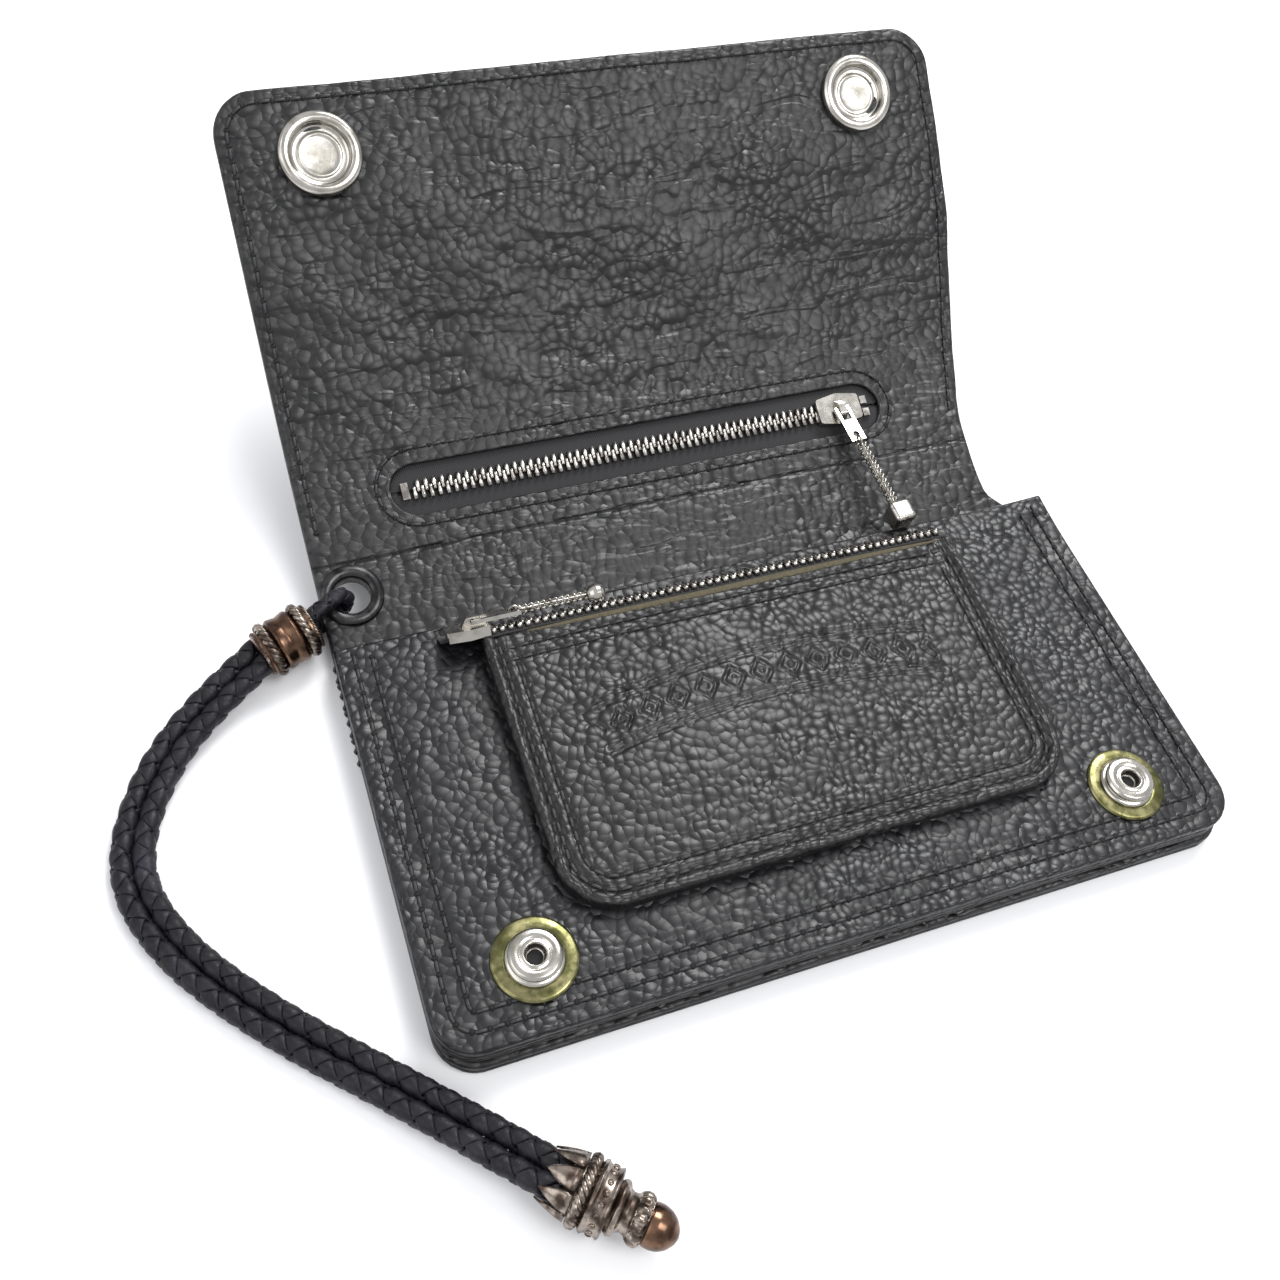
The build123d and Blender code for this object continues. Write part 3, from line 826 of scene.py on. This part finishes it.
# ---- the coin pocket ----
pocket_mid = (pocket_left + pocket_right) / 2
pocket_half = (pocket_right - pocket_left) / 2
pocket_line = Line(
    straight(
        (pocket_front_depth, panel_height + pocket_low + pocket_leather),
        (pocket_mouth_depth, panel_height + pocket_high + pocket_leather),
        0.5,
    )
)


def pocket_sides(u):
    inset = corner_inset(u, pocket_round)
    return pocket_left + inset, pocket_right - inset


def pocket_border(x, u):
    """Distance in from the pocket's sewn border."""
    side = pocket_half - abs(x - pocket_mid)
    if side < pocket_round and u < pocket_round:
        return pocket_round - math.hypot(pocket_round - side, pocket_round - u)
    return min(side, u)


def tooling(x, u):
    """Blind tooling on the pocket: an arched band of lozenges between double lines."""
    reach = 36
    beyond = abs(x - pocket_mid)
    if beyond > reach:
        return 0.0
    over = u - 33.0 - 4.5 * (1 - ((x - pocket_mid) / 38) ** 2)
    lines = sum(ridge(over - level, 0.42) for level in (-5.6, -4.2, 4.2, 5.6))
    cell = ((x - pocket_mid + 40) % 6.0) - 3.0
    lozenge = abs(cell) / 2.5 + abs(over) / 2.9
    lines += ridge(lozenge - 0.9, 0.16) + 0.8 * ridge(math.hypot(cell, over), 0.6)
    return -0.38 * min(lines, 1.0) * min(1.0, reach - beyond)


def pocket_relief(x, u):
    """The pocket's front: a rolled border, grooves along the seams, a slight crown, and tooling."""
    border = pocket_border(x, u)
    roll = 0.35 * ridge(border - 1.3, 0.9)
    grooves = -0.42 * ridge(border - 2.9, 0.7) - 0.25 * ridge(border - 5.4, 0.6)
    mouth_seams = -0.16 * sum(ridge(pocket_line.length - u - below, 0.7) for below in mouth_rows)
    crown = 0.5 * min(1.0, max(0.0, border - 6) / 14)
    waves = rolling(x, u, 0.14, 5.0) * min(1, border / 8)
    return roll + grooves + mouth_seams + crown + tooling(x, u) + waves


pocket = shell(
    "pocket_front_leather", pocket_line, 0, pocket_line.length, 0, pocket_leather, pocket_sides,
    pocket_leather_paint, relief=pocket_relief, step=0.36,
)
settle(pocket, "body", ("pocket_front",), "pocket_leather")


def u_path(left, right, radius, end, front, step=2.0, degrees=10):
    """Points from end down a left side, round two corners, and up the right side to end."""
    inner = front + radius
    turns = [math.radians(d) for d in range(0, 90, degrees)]
    path = [(left, u) for u in frange(end, inner, -step)]
    path += [(left + radius * (1 - math.cos(a)), inner - radius * math.sin(a)) for a in turns]
    path += [(x, front) for x in frange(left + radius, right - radius, step)]
    path += [(right - radius * (1 - math.sin(a)), inner - radius * math.cos(a)) for a in turns]
    return path + [(right, u) for u in frange(inner, end, step)]


def pocket_path(inset, end):
    """Points (x, run) along the pocket's left side, front and right side, inset from the border."""
    return u_path(pocket_left + inset, pocket_right - inset, pocket_round - inset, end, inset, 1.0, 6)


# Share of the gusset's height and mm inwards: up its folded outer face, and down its inner face.
gusset_section = (
    (0, 0.35), (0.3, 0.6), (0.55, 0.85), (0.8, 0.6), (1, 0.35), (1, 2.4), (0.5, 2.4), (0, 2.4),
)
gusset_rings = []
for x, u in pocket_path(0.0, pocket_line.length - 0.3):
    depth = pocket_front_depth + u
    foot = at(x, depth, panel_height - 0.35)
    rise = pocket_line.point(x, u, -pocket_leather + 0.1) - foot
    inward = Vector((pocket_mid - x, 40 - depth if u < pocket_round else 0, 0)).normalized()
    gusset_rings.append([foot + rise * share + inward * (tuck * MM) for share, tuck in gusset_section])
gusset = Parts()
gusset.add(gusset_rings)
gusset.place("pocket_gusset_leather", edge_paint, "body", ("pocket_gusset",), "pocket_leather")

mouth_rings = []
mouth_start = pocket_left + 9
mouth_end = pocket_right - 2.5
for x in frange(mouth_start, mouth_end, 0.8):
    open_by = max(0.0, math.sin(math.pi * (x - mouth_start) / (mouth_end - mouth_start))) ** 0.6
    frayed = 1 + 0.25 * noise.noise(Vector((x * 0.9, 0, 0)))
    deep = 0.15 + 0.6 * open_by * frayed
    u = pocket_line.length - 0.35 - deep
    centre = pocket_line.point(x, u, pocket_relief(x, u))
    mouth_rings.append(oval(centre, Vector((0, 1, 0)), UP, deep, 0.1 + 0.15 * open_by, 10))
mouth = Parts()
mouth.add(mouth_rings)
mouth.place("pocket_mouth_edge", suede_paint, "body", (), "pocket_leather")


# ---- stitching ----
def stitches(name, body, path, place, pitch=3.0, stitch=2.1, closed=False):
    """A row of stitches and their holes. place turns a point of the path into a place and a normal."""
    thick = 0.4
    spots = [place(*p) for p in (path + path[:1] if closed else path)]
    run = [d / MM for d in distances([point for point, _ in spots])]
    count = max(1, int(run[-1] / pitch))
    step = run[-1] / count

    def find(distance):
        index, share = locate(run, distance)
        (a, up_a), (b, up_b) = spots[index], spots[index + 1]
        return a.lerp(b, share), up_a.lerp(up_b, share).normalized()

    threads = Parts()
    holes = Parts()
    for i in range(count):
        middle = (i + 0.5) * step
        line = []
        for share in (-0.5, -0.38, -0.2, 0.0, 0.2, 0.38, 0.5):
            point, up = find(min(max(middle + share * stitch, 0), run[-1]))
            line.append(point + up * ((0.30 - 2.6 * share**2) * thick * MM))
        _, up = find(middle)
        threads.add(tube(line, thick, 6, 0.75, up.cross(line[-1] - line[0])))
        # Each needle hole is a small dip painted near-black as painted shade.
        point, up = find(i * step)
        holes.add(turned(point, up, [(-0.3, 0.4), (0.07, 0.6)], 8))
    threads.place(name, thread, body)
    holes.place(name + "_holes", painted_hole_shade, body)


def face_of(line, relief):
    """A function that turns (x, run) into a point just over a layer's relief, and the normal there."""
    return lambda x, u: (line.point(x, u, relief(x, u) + 0.05), line.normal(u))


on_panel = face_of(panel_line, panel_relief)
on_pocket = face_of(pocket_line, pocket_relief)
on_whole = face_of(whole_line, body_relief)


def panel_path(inset, end):
    """Points (x, depth) down the left side, along the front and up the right side of the panel."""
    return u_path(-half + inset, half - inset, max(front_round - inset, 1.5), end, inset)


def flap_path(inset):
    """Points (x, run) up the flap's left side, along its tip and down its waisted right side."""
    tip = whole_line.length
    path = u_path(-half + inset, half - inset, tip_round - inset, tip - u_fold_b - 4.5, inset)
    return [(min(x, right_edge(tip - v) - inset), tip - v) for x, v in path]


fine = (2.7, 2.0)
stitches("panel_stitches_outer", "body", panel_path(3.6, 81.0), on_panel)
stitches("panel_stitches_inner", "body", panel_path(6.9, 79.5), on_panel)
stitches("pocket_stitches_outer", "body", pocket_path(2.9, pocket_line.length - 2), on_pocket, *fine)
stitches("pocket_stitches_inner", "body", pocket_path(5.4, pocket_line.length - 7), on_pocket, *fine)
for index, below in enumerate(mouth_rows):
    row = [(x, pocket_line.length - below) for x in frange(pocket_left + 3.5, pocket_right - 3.5, 2.0)]
    stitches(f"pocket_stitches_mouth_{index}", "body", row, on_pocket, *fine)
stitches("flap_stitches", "flap", flap_path(2.6), on_whole)

slot_u = whole_line.at_depth(flap_zip_spot[0])
slot_row = slot_path(2.5, 12)
slot_row += [(x, slot_row[0][1]) for x in frange(slot_row[-1][0], slot_row[0][0], 2.0)[1:-1]]
stitches("slot_stitches", "flap", [(x, slot_u + a) for x, a in slot_row], on_whole, closed=True)

# One turn of the whipping over the cover's left edge: x, shift in depth, height.
whipping_turn = (
    (-78.7, 0, 3.45), (-80.0, 0.2, 3.2), (-80.3, 0.5, 1.7), (-80.0, 0.8, 0.25), (-79.2, 0.9, 0.1),
)
whipping = Parts()
for depth in frange(61.0, 82.0, 2.1):
    lean = 0.5 * math.sin(depth)
    whipping.add(tube([at(x, depth + shift + lean, height) for x, shift, height in whipping_turn], 0.3, 6))
whipping.place("edge_whipping", thread, "body")


# ---- zips ----
flap_zip = Plane(flap_zip_spot, flap_zip_slope, zip_sink)
pocket_zip = Plane((77.2, 11.65), -40.0)


def teeth(node, body, plane, left, right, side):
    """A row of cast teeth with round noses, each with a waist behind its nose."""
    row = Parts()
    count = int((right - left) / tooth_pitch)
    middle = (left + right) / 2 + tooth_pitch / 4 * side
    outline = [(2.05, 0.48), (0.75, 0.48), (0.5, 0.38), (0.1, 0.3), (-0.25, 0.4), (-0.5, 0.34), (-0.62, 0.14)]
    for i in range(count):
        x = middle + (i - (count - 1) / 2) * tooth_pitch
        rings = []
        for lift, grow in ((0.0, 1.0), (0.75, 1.0), (1.0, 0.8), (1.1, 0.45)):
            ring = [plane.point(x + w * grow, side * a, lift) for a, w in outline]
            ring += [plane.point(x - w * grow, side * a, lift) for a, w in reversed(outline)]
            rings.append(ring)
        row.add(rings)
    row.place(node + "_row", tooth_metal, body, (node,), "zip_metal")


def pocket_tape(node, left, near, far):
    """One of the pocket zip's tapes, with a corded edge beside the teeth."""
    edge = math.copysign(0.55, far - near)
    cord = ((0.0, 0.1), (0.5, 0.32), (1.4, 0.1), (2.0, 0.0))
    ribs = [(near + edge * share, lift) for share, lift in cord] + [(far, 0.0)]
    rings = []
    for x in frange(left, pocket_right - 0.5, 2.0):
        wave = 0.06 * math.sin(x * 0.9)
        top = [pocket_zip.point(x, a, lift + wave) for a, lift in ribs]
        rings.append([pocket_zip.point(x, near, -0.4), *top, pocket_zip.point(x, far, -0.4)])
    cloth = Parts()
    cloth.add(rings)
    cloth.place(node + "_cloth", tape_paint, "body", (node,), "zip_tape")


def slot_tape(node, side):
    """One of the flap zip's tapes, which fills its half of the slot."""
    outline = [(x, a) for x, a in slot_path(-0.05, 16) if side * a > 0.5]
    outline.sort(key=lambda p: math.atan2(side * p[1], p[0] - slot_x))
    ends = [(outline[0][0], side * 0.5), *outline, (outline[-1][0], side * 0.5)]
    cloth = Parts()
    cloth.add([[flap_zip.point(x, a, lift) for x, a in ends] for lift in (-0.4, 0.0)])
    cloth.place(node + "_cloth", tape_paint, "flap", (node,), "zip_tape", smooth=False)


for row, side in (("lower", -1), ("upper", 1)):
    teeth("flap_teeth_" + row, "flap", flap_zip, -56.5, 47.0, side)
for row, side in (("front", -1), ("rear", 1)):
    teeth("pocket_teeth_" + row, "body", pocket_zip, -50.5, 50.0, side)
pocket_tape("pocket_tape_front", pocket_left + 0.5, -0.55, -2.5)
pocket_tape("pocket_tape_rear", -60.0, 0.55, 4.2)
slot_tape("flap_tape_lower", -1)
slot_tape("flap_tape_upper", 1)


# ---- sliders and pulls ----
def finish_cad(node, material, bevel=0.0):
    """A CAD node that keeps its shape: a better material and eased edges."""
    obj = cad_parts[node]
    obj.data.materials.clear()
    obj.data.materials.append(material)
    if bevel:
        modifier = obj.modifiers.new("eased", "BEVEL")
        modifier.width = bevel * MM
        modifier.segments = 3
        modifier.limit_method = "ANGLE"
        modifier.harden_normals = True


for cad_node in (
    "flap_slider_shell", "flap_slider_lug", "flap_pull_tab", "pocket_slider_shell", "pocket_slider_lug",
    "pocket_pull_tab", "pocket_pull_ball",
):
    finish_cad(cad_node, nickel, 0.18)
finish_cad("flap_zip_stops", tooth_metal)
finish_cad("flap_pull_bead", silver, 0.7)


def foxtail(pull, body, start, end, radius):
    """A fox-tail chain: crossed oval links, each through the one before."""
    along = (end - start).normalized()
    first, second = basis(along, UP)
    length = (end - start).length / MM
    count = int(length / 0.62)
    links = Parts()
    for i in range(count):
        centre = start + along * ((i + 0.5) * length / count * MM)
        side, other = (first, second) if i % 2 else (second, first)
        lean = (along * 0.62 + other * 0.1).normalized()
        saddle = (other * (radius * 0.42 * math.cos(2 * math.tau * k / 12) * MM) for k in range(12))
        link = [p + bent for p, bent in zip(oval(centre, side, lean, radius * 0.86, 0.75, 12), saddle)]
        links.add(closed_wire(link, 0.27, 6, along), looped=True)
    links.add(tube([start.lerp(end, t / 8) for t in range(9)], radius * 0.5, 8))
    links.place(pull + "_links", silver, body, (pull + "_chain",), "pull_silver")


def jump_ring(name, body, centre, normal, radius, wire):
    ring = Parts()
    ring.add(closed_wire(oval(centre, *basis(normal), radius, radius, 24), wire, 8, normal), looped=True)
    ring.place(name, silver, body, (), "pull_silver")


bead_half = 2.45
bead_at = at(44.0, 84.2, panel_height + bead_half + 0.25)
flap_pivot = flap_zip.point(42.0, -0.6, 3.15)
pull_dir = (bead_at - flap_pivot).normalized()
chain_end = bead_at - pull_dir * (bead_half * MM)
foxtail("flap_pull", "flap_chain", flap_pivot + pull_dir * (9.8 * MM), chain_end, 1.15)
jump_ring("flap_jump_ring", "flap_chain", flap_pivot + pull_dir * (9 * MM), Vector((1, 0, 0)), 1.15, 0.27)


def on_pocket_pull(reach):
    return pocket_zip.point(-53.3 + reach, 0, 3.15)


foxtail("pocket_pull", "pocket_pull", on_pocket_pull(9.2), on_pocket_pull(23.6), 0.92)
jump_ring("pocket_jump_ring", "pocket_pull", on_pocket_pull(8.5), pocket_zip.back, 1.1, 0.25)

# ---- snaps and eyelet ----
stud_spots = [at(x, stud_depth, panel_height) for x in (-snap_x, snap_x)]
lathe(
    "stud_flange_discs", stud_spots, UP,
    [(0.0, 7.7), (0.3, 7.7), (0.62, 7.3), (0.78, 6.4), (0.8, 5.4), (0.6, 4.9), (0.6, 0.0)],
    brass_patina, ("body", ("stud_flanges",), "stud_brass"),
)
lathe(
    "stud_heads_turned", stud_spots, UP,
    [
        (0.6, 5.15), (0.95, 5.2), (1.2, 4.9), (1.35, 4.4), (1.7, 4.35), (2.0, 4.75), (2.45, 4.75),
        (2.85, 4.3), (2.95, 3.6), (2.9, 3.1), (2.7, 2.75), (2.85, 2.4), (2.9, 2.05), (2.6, 1.8), (0.9, 1.7),
        (0.9, 0.0),
    ],
    nickel, ("body", ("stud_heads",), "snap_steel"),
)
# A near-black disc at the bottom of each stud's hole, as painted shade.
lathe(
    "stud_hole_shade_discs", stud_spots, UP, [(0.95, 1.68), (0.96, 0.0)], painted_hole_shade, ("body", (), "snap_steel"),
    eased=False,
)

before_tip, tip = flap_line[-2:]
tip_slope = math.degrees(math.atan2(tip[1] - before_tip[1], tip[0] - before_tip[0]))
socket_up = square_to(tip_slope + 0.4)
socket_spots = [at(x, *along_line(tip, tip_slope, -13.8)) for x in (-snap_x, snap_x)]
lathe(
    "snap_sockets_turned", socket_spots, socket_up,
    [
        (0.0, 8.3), (0.7, 8.45), (1.5, 8.3), (2.0, 7.7), (2.12, 7.0), (2.0, 6.35), (1.6, 6.0), (0.9, 5.9),
        (0.35, 5.8), (0.12, 5.3), (0.1, 4.6), (0.26, 4.35), (0.28, 4.0), (0.14, 3.6), (0.12, 0.0),
    ],
    nickel, ("flap", ("snap_sockets",), "snap_steel"),
)
lathe(
    "socket_caps_turned", socket_spots, -socket_up,
    [(3.1, 7.75), (3.6, 7.8), (4.2, 7.2), (4.65, 5.6), (4.85, 3.0), (4.9, 0.0)],
    nickel, ("flap", ("socket_caps",), "snap_steel"),
)
lathe(
    "eyelet_turned", [eyelet_at], spine_up,
    [
        (-3.5, 4.2), (-3.5, 3.7), (-0.2, 3.72), (0.45, 3.9), (0.85, 4.5), (0.98, 5.1), (0.85, 5.7), (0.5, 6.3),
        (0.0, 6.5), (-0.05, 5.0),
    ],
    gunmetal, ("spine", ("eyelet_front",), "gunmetal"), 72,
)
finish_cad("eyelet_washer", gunmetal, 0.1)

# ---- the strap ----
strap_route = [
    (-92.6, 87.0, 6.3), (-107.0, 78.7, 3.6), (-118.3, 65.6, 2.1), (-123.6, 50.0, 2.05), (-118.0, 34.0, 2.05),
    (-104.0, 16.5, 2.05), (-86.0, -0.9, 2.6), (-66.2, -22.0, 6.1),
]
loop_route = [
    (-84.6, 89.9, 8.6), (-78.2, 93.9, 9.7), (-74.9, 95.9, 8.0), (-74.4, 96.9, 3.1), (-77.8, 95.9, 1.25),
    (-82.4, 92.9, 1.4), (-85.4, 89.6, 5.2),
]
leg_offset = 1.95
leg_d = 3.7


def beside(route, offset):
    """The route moved sideways by offset, to the left of its own direction."""
    moved = []
    for i, (x, depth, height) in enumerate(route):
        before = route[max(i - 1, 0)]
        after = route[min(i + 1, len(route) - 1)]
        size = math.hypot(after[0] - before[0], after[1] - before[1])
        side = ((before[1] - after[1]) / size, (after[0] - before[0]) / size)
        moved.append((x + offset * side[0], depth + offset * side[1], height))
    return moved


def route_points(name, route):
    """Points along the smooth curve that has the route's points as its control points."""
    data = bpy.data.curves.new(name, "CURVE")
    data.dimensions = "3D"
    data.resolution_u = 24
    spline = data.splines.new("NURBS")
    spline.points.add(len(route) - 1)
    for point, spot in zip(spline.points, route):
        point.co = (*at(*spot), 1)
    spline.order_u = 3
    spline.use_endpoint_u = True
    obj = bpy.data.objects.new(name, data)
    bpy.context.scene.collection.objects.link(obj)
    bpy.context.view_layer.update()
    mesh = bpy.data.meshes.new_from_object(obj)
    points = [v.co.copy() for v in mesh.vertices]
    bpy.data.objects.remove(obj)
    bpy.data.meshes.remove(mesh)
    return points


def evenly(points, step):
    """The same line with its points an even distance apart, and its length."""
    run = distances(points)
    count = max(2, round(run[-1] / (step * MM)))
    even = []
    for i in range(count + 1):
        index, share = locate(run, run[-1] * i / count)
        even.append(points[index].lerp(points[index + 1], share))
    return even, run[-1]


def braid(name, points, diameter, lay, flat=1.0):
    """Four flat laces braided round a core. lay is one lace's full turn, and flat squashes the braid."""
    step = 0.35
    line, _ = evenly(points, step)
    frames = []
    side = UP
    for point, along in zip(line, headings(line)):
        side = basis(along, side)[0]
        frames.append((point, side, along.cross(side)))
    radius = diameter / 2
    parts = Parts()
    for direction, start in ((1, 0.0), (1, math.pi), (-1, 0.0), (-1, math.pi)):
        lace = []
        outs = []
        for i, (point, up, across) in enumerate(frames):
            turn = math.tau * i * step / lay
            angle = direction * turn + start + (math.pi / 2 if direction < 0 else 0)
            over = direction * math.cos(2 * turn - math.pi / 2)
            out = up * (math.cos(angle) * flat) + across * math.sin(angle)
            lace.append(point + out * (radius * 0.62 * (1 + 0.26 * over) * MM))
            outs.append(out.normalized())
        rings = []
        for k, (point, out, heading) in enumerate(zip(lace, outs, headings(lace))):
            wobble = 1 + 0.3 * noise.noise(Vector((k * 0.09, start + direction, 3.0)))
            broad = heading.cross(out).normalized()
            rings.append(oval(point, broad, out, radius * 0.74 * wobble, radius * 0.3, 10))
        parts.add(rings)
    parts.add(tube(line, radius * 0.55, 8))
    return parts.make(name, braid_paint)


legs = {}
for leg_name, offset, lay in (("strap_leg_outer", -leg_offset, 9.4), ("strap_leg_inner", leg_offset, 8.8)):
    points, length = evenly(route_points(leg_name + "_route", beside(strap_route, offset)), 1.0)
    leg = braid(leg_name + "_braid", points, leg_d + 0.4, lay)
    settle(leg, "body", (leg_name,), "braid_leather")
    legs[leg_name] = (leg, points, length)

loop_points, _ = evenly(route_points("strap_loop_route", loop_route), 0.6)
loop = braid("strap_loop_braid", loop_points, 3.3, 8.0, flat=0.7)
bend(loop, ("strap_loop",))


# ---- bead and end piece ----
def rope_ring(parts, centre, axis, radius, wire, turns):
    """A ring of three wires twisted together."""
    first, second = basis(axis)
    steps = 220
    for strand in range(3):
        circle = []
        for a in (math.tau * k / steps for k in range(steps)):
            out = first * math.cos(a) + second * math.sin(a)
            twist = a * turns / 3 + math.tau * strand / 3
            offset = out * (radius + wire * 0.52 * math.cos(twist)) + axis * (wire * 0.52 * math.sin(twist))
            circle.append(centre + offset * MM)
        parts.add(closed_wire(circle, wire * 0.56, 7, axis), looped=True)


bead_from = at(-93.4, 86.7, 6.2)
bead_to = at(-82.0, 90.5, 7.5)
bead_axis = (bead_to - bead_from).normalized()
bead_length = (bead_to - bead_from).length / MM
bead_end = [(0.3, 2.6), (0.0, 3.4), (0.4, 4.3), (1.0, 4.6), (3.4, 4.6), (3.7, 5.1), (4.2, 5.45), (5.3, 5.25)]
other_end = [(bead_length - station, radius) for station, radius in reversed(bead_end)]
lathe(
    "strap_bead_cast", [bead_from], bead_axis, bead_end + [(bead_length / 2, 5.05)] + other_end, bronze,
    ("body", ("strap_bead",), "bronze"),
)
bead_ropes = Parts()
for inset, radius, wire, turns in ((2.4, 4.75, 0.95, 22), (0.75, 4.25, 0.42, 36)):
    for station in (inset, bead_length - inset):
        rope_ring(bead_ropes, bead_from + bead_axis * (station * MM), bead_axis, radius, wire, turns)
bead_ropes.place("strap_bead_rope_rings", aged_silver, "body", ("strap_bead_ropes",), "silver")

finial_from = at(-67.1, -21.1, 6.25)
finial_to = at(-51.3, -35.9, 6.1)
finial_axis = (finial_to - finial_from).normalized()
finial_side, finial_up = basis(finial_axis, UP)


def on_finial(station):
    return finial_from + finial_axis * (station * MM)


def finial_out(angle):
    return finial_side * math.cos(angle) + finial_up * math.sin(angle)


cup = Parts()
claw_count = 8
for claw in range(claw_count):
    rings = []
    for share in (0.0, 0.2, 0.45, 0.7, 0.9, 1.0):
        width = 0.40 * (1 - share**2) + 0.02
        ring = []
        for a in (math.tau * k / 8 for k in range(8)):
            out = finial_out(math.tau * claw / claw_count + width * math.cos(a))
            radius = 5.25 - 1.15 * share**1.5 + 0.42 * math.sin(a) * (1 - 0.6 * share)
            ring.append(on_finial(4.0 - 5.6 * share) + out * (radius * MM))
        rings.append(ring)
    cup.add(rings)
cup.add(turned(finial_from, finial_axis, [(2.2, 4.2), (2.6, 4.9), (3.6, 5.1), (3.9, 4.6)], 40))
cup.place("finial_claws", aged_silver, "body", ("finial_cup",), "silver")

finial_rope = Parts()
rope_ring(finial_rope, on_finial(5.2), finial_axis, 5.15, 0.95, 30)
finial_rope.place("finial_rope_twist", aged_silver, "body", ("finial_rope_ring",), "silver")

lathe(
    "finial_band_cast", [finial_from], finial_axis,
    [
        (4.0, 4.7), (6.2, 5.0), (6.6, 5.7), (7.1, 5.95), (7.4, 5.6), (7.7, 5.45), (9.2, 5.4), (9.5, 5.6),
        (9.8, 5.75), (10.1, 5.3), (10.1, 3.0),
    ],
    aged_silver, ("body", ("finial_band",), "bronze"),
)
dots = Parts()
dot_count = 18
for dot in range(dot_count):
    out = finial_out(math.tau * dot / dot_count)
    foot = on_finial(8.45) + out * (5.3 * MM)
    dots.add(turned(foot, out, soft_outline([(0, 0.62), (0.35, 0.5), (0.5, 0.05)]), 10))
dots.place("finial_band_dots", aged_silver, "body", (), "silver")

for name, node, slot, material, outline, more in (
    (
        "finial_neck_cast", "finial_neck", "silver", aged_silver,
        [
            (10.0, 3.9), (10.4, 4.2), (11.0, 4.55), (11.6, 4.3), (12.0, 3.5), (12.6, 3.2), (13.3, 3.3),
            (13.7, 3.6),
        ], (),
    ),
    (
        "finial_collar_fluted", "finial_collar", "silver", aged_silver,
        [(13.5, 3.3), (13.8, 3.9), (14.6, 4.4), (15.5, 4.4), (16.1, 3.9), (16.4, 3.2)],
        (96, (14, 0.5, 13.8, 16.1)),
    ),
    (
        "finial_dome_polished", "finial_dome", "bronze", bronze,
        [(16.2, 3.3), (16.6, 3.55), (17.8, 3.6), (19.2, 3.25), (20.4, 2.45), (21.3, 1.2), (21.6, 0.0)], (),
    ),
):
    lathe(name, [finial_from], finial_axis, outline, material, ("body", (node,), slot), *more)

# Each leg's points are turned into tuples here; nothing is made from them.
for leg_name, (leg, points, length) in legs.items():
    tuple(points[0])
    [tuple(p) for p in points]


# ---- floor and light ----
def studio():
    """A pale floor, a broad soft light overhead and two weaker ones, and an even surround."""
    bpy.ops.mesh.primitive_plane_add(size=6.0, location=(0, 0, -0.00005))
    floor = bpy.context.object
    floor.name = "floor"
    paint = Paint("floor_paper", (0.86, 0.86, 0.87), 0.75)
    paint.bump(paint.noise(900.0, 3.0), 0.00003, 0.2)
    floor.data.materials.append(paint.material)
    world = bpy.data.worlds.new("surround")
    world.use_nodes = True
    world.node_tree.nodes["Background"].inputs["Color"].default_value = (0.96, 0.97, 1.0, 1)
    world.node_tree.nodes["Background"].inputs["Strength"].default_value = 0.78
    bpy.context.scene.world = world
    for name, spot, size, power in (
        ("key", (0.42, 0.5, 0.8), 0.45, 9.0),
        ("front", (0.3, -0.38, 0.85), 0.4, 4.0),
        ("fill", (-0.75, -0.1, 0.7), 0.8, 3.0),
    ):
        data = bpy.data.lights.new(name, "AREA")
        data.size = size
        data.energy = power
        light = bpy.data.objects.new(name, data)
        light.location = spot
        light.rotation_euler = (-Vector(spot)).to_track_quat("-Z", "Y").to_euler()
        bpy.context.scene.collection.objects.link(light)
    bpy.context.scene.view_settings.view_transform = "Standard"


studio()
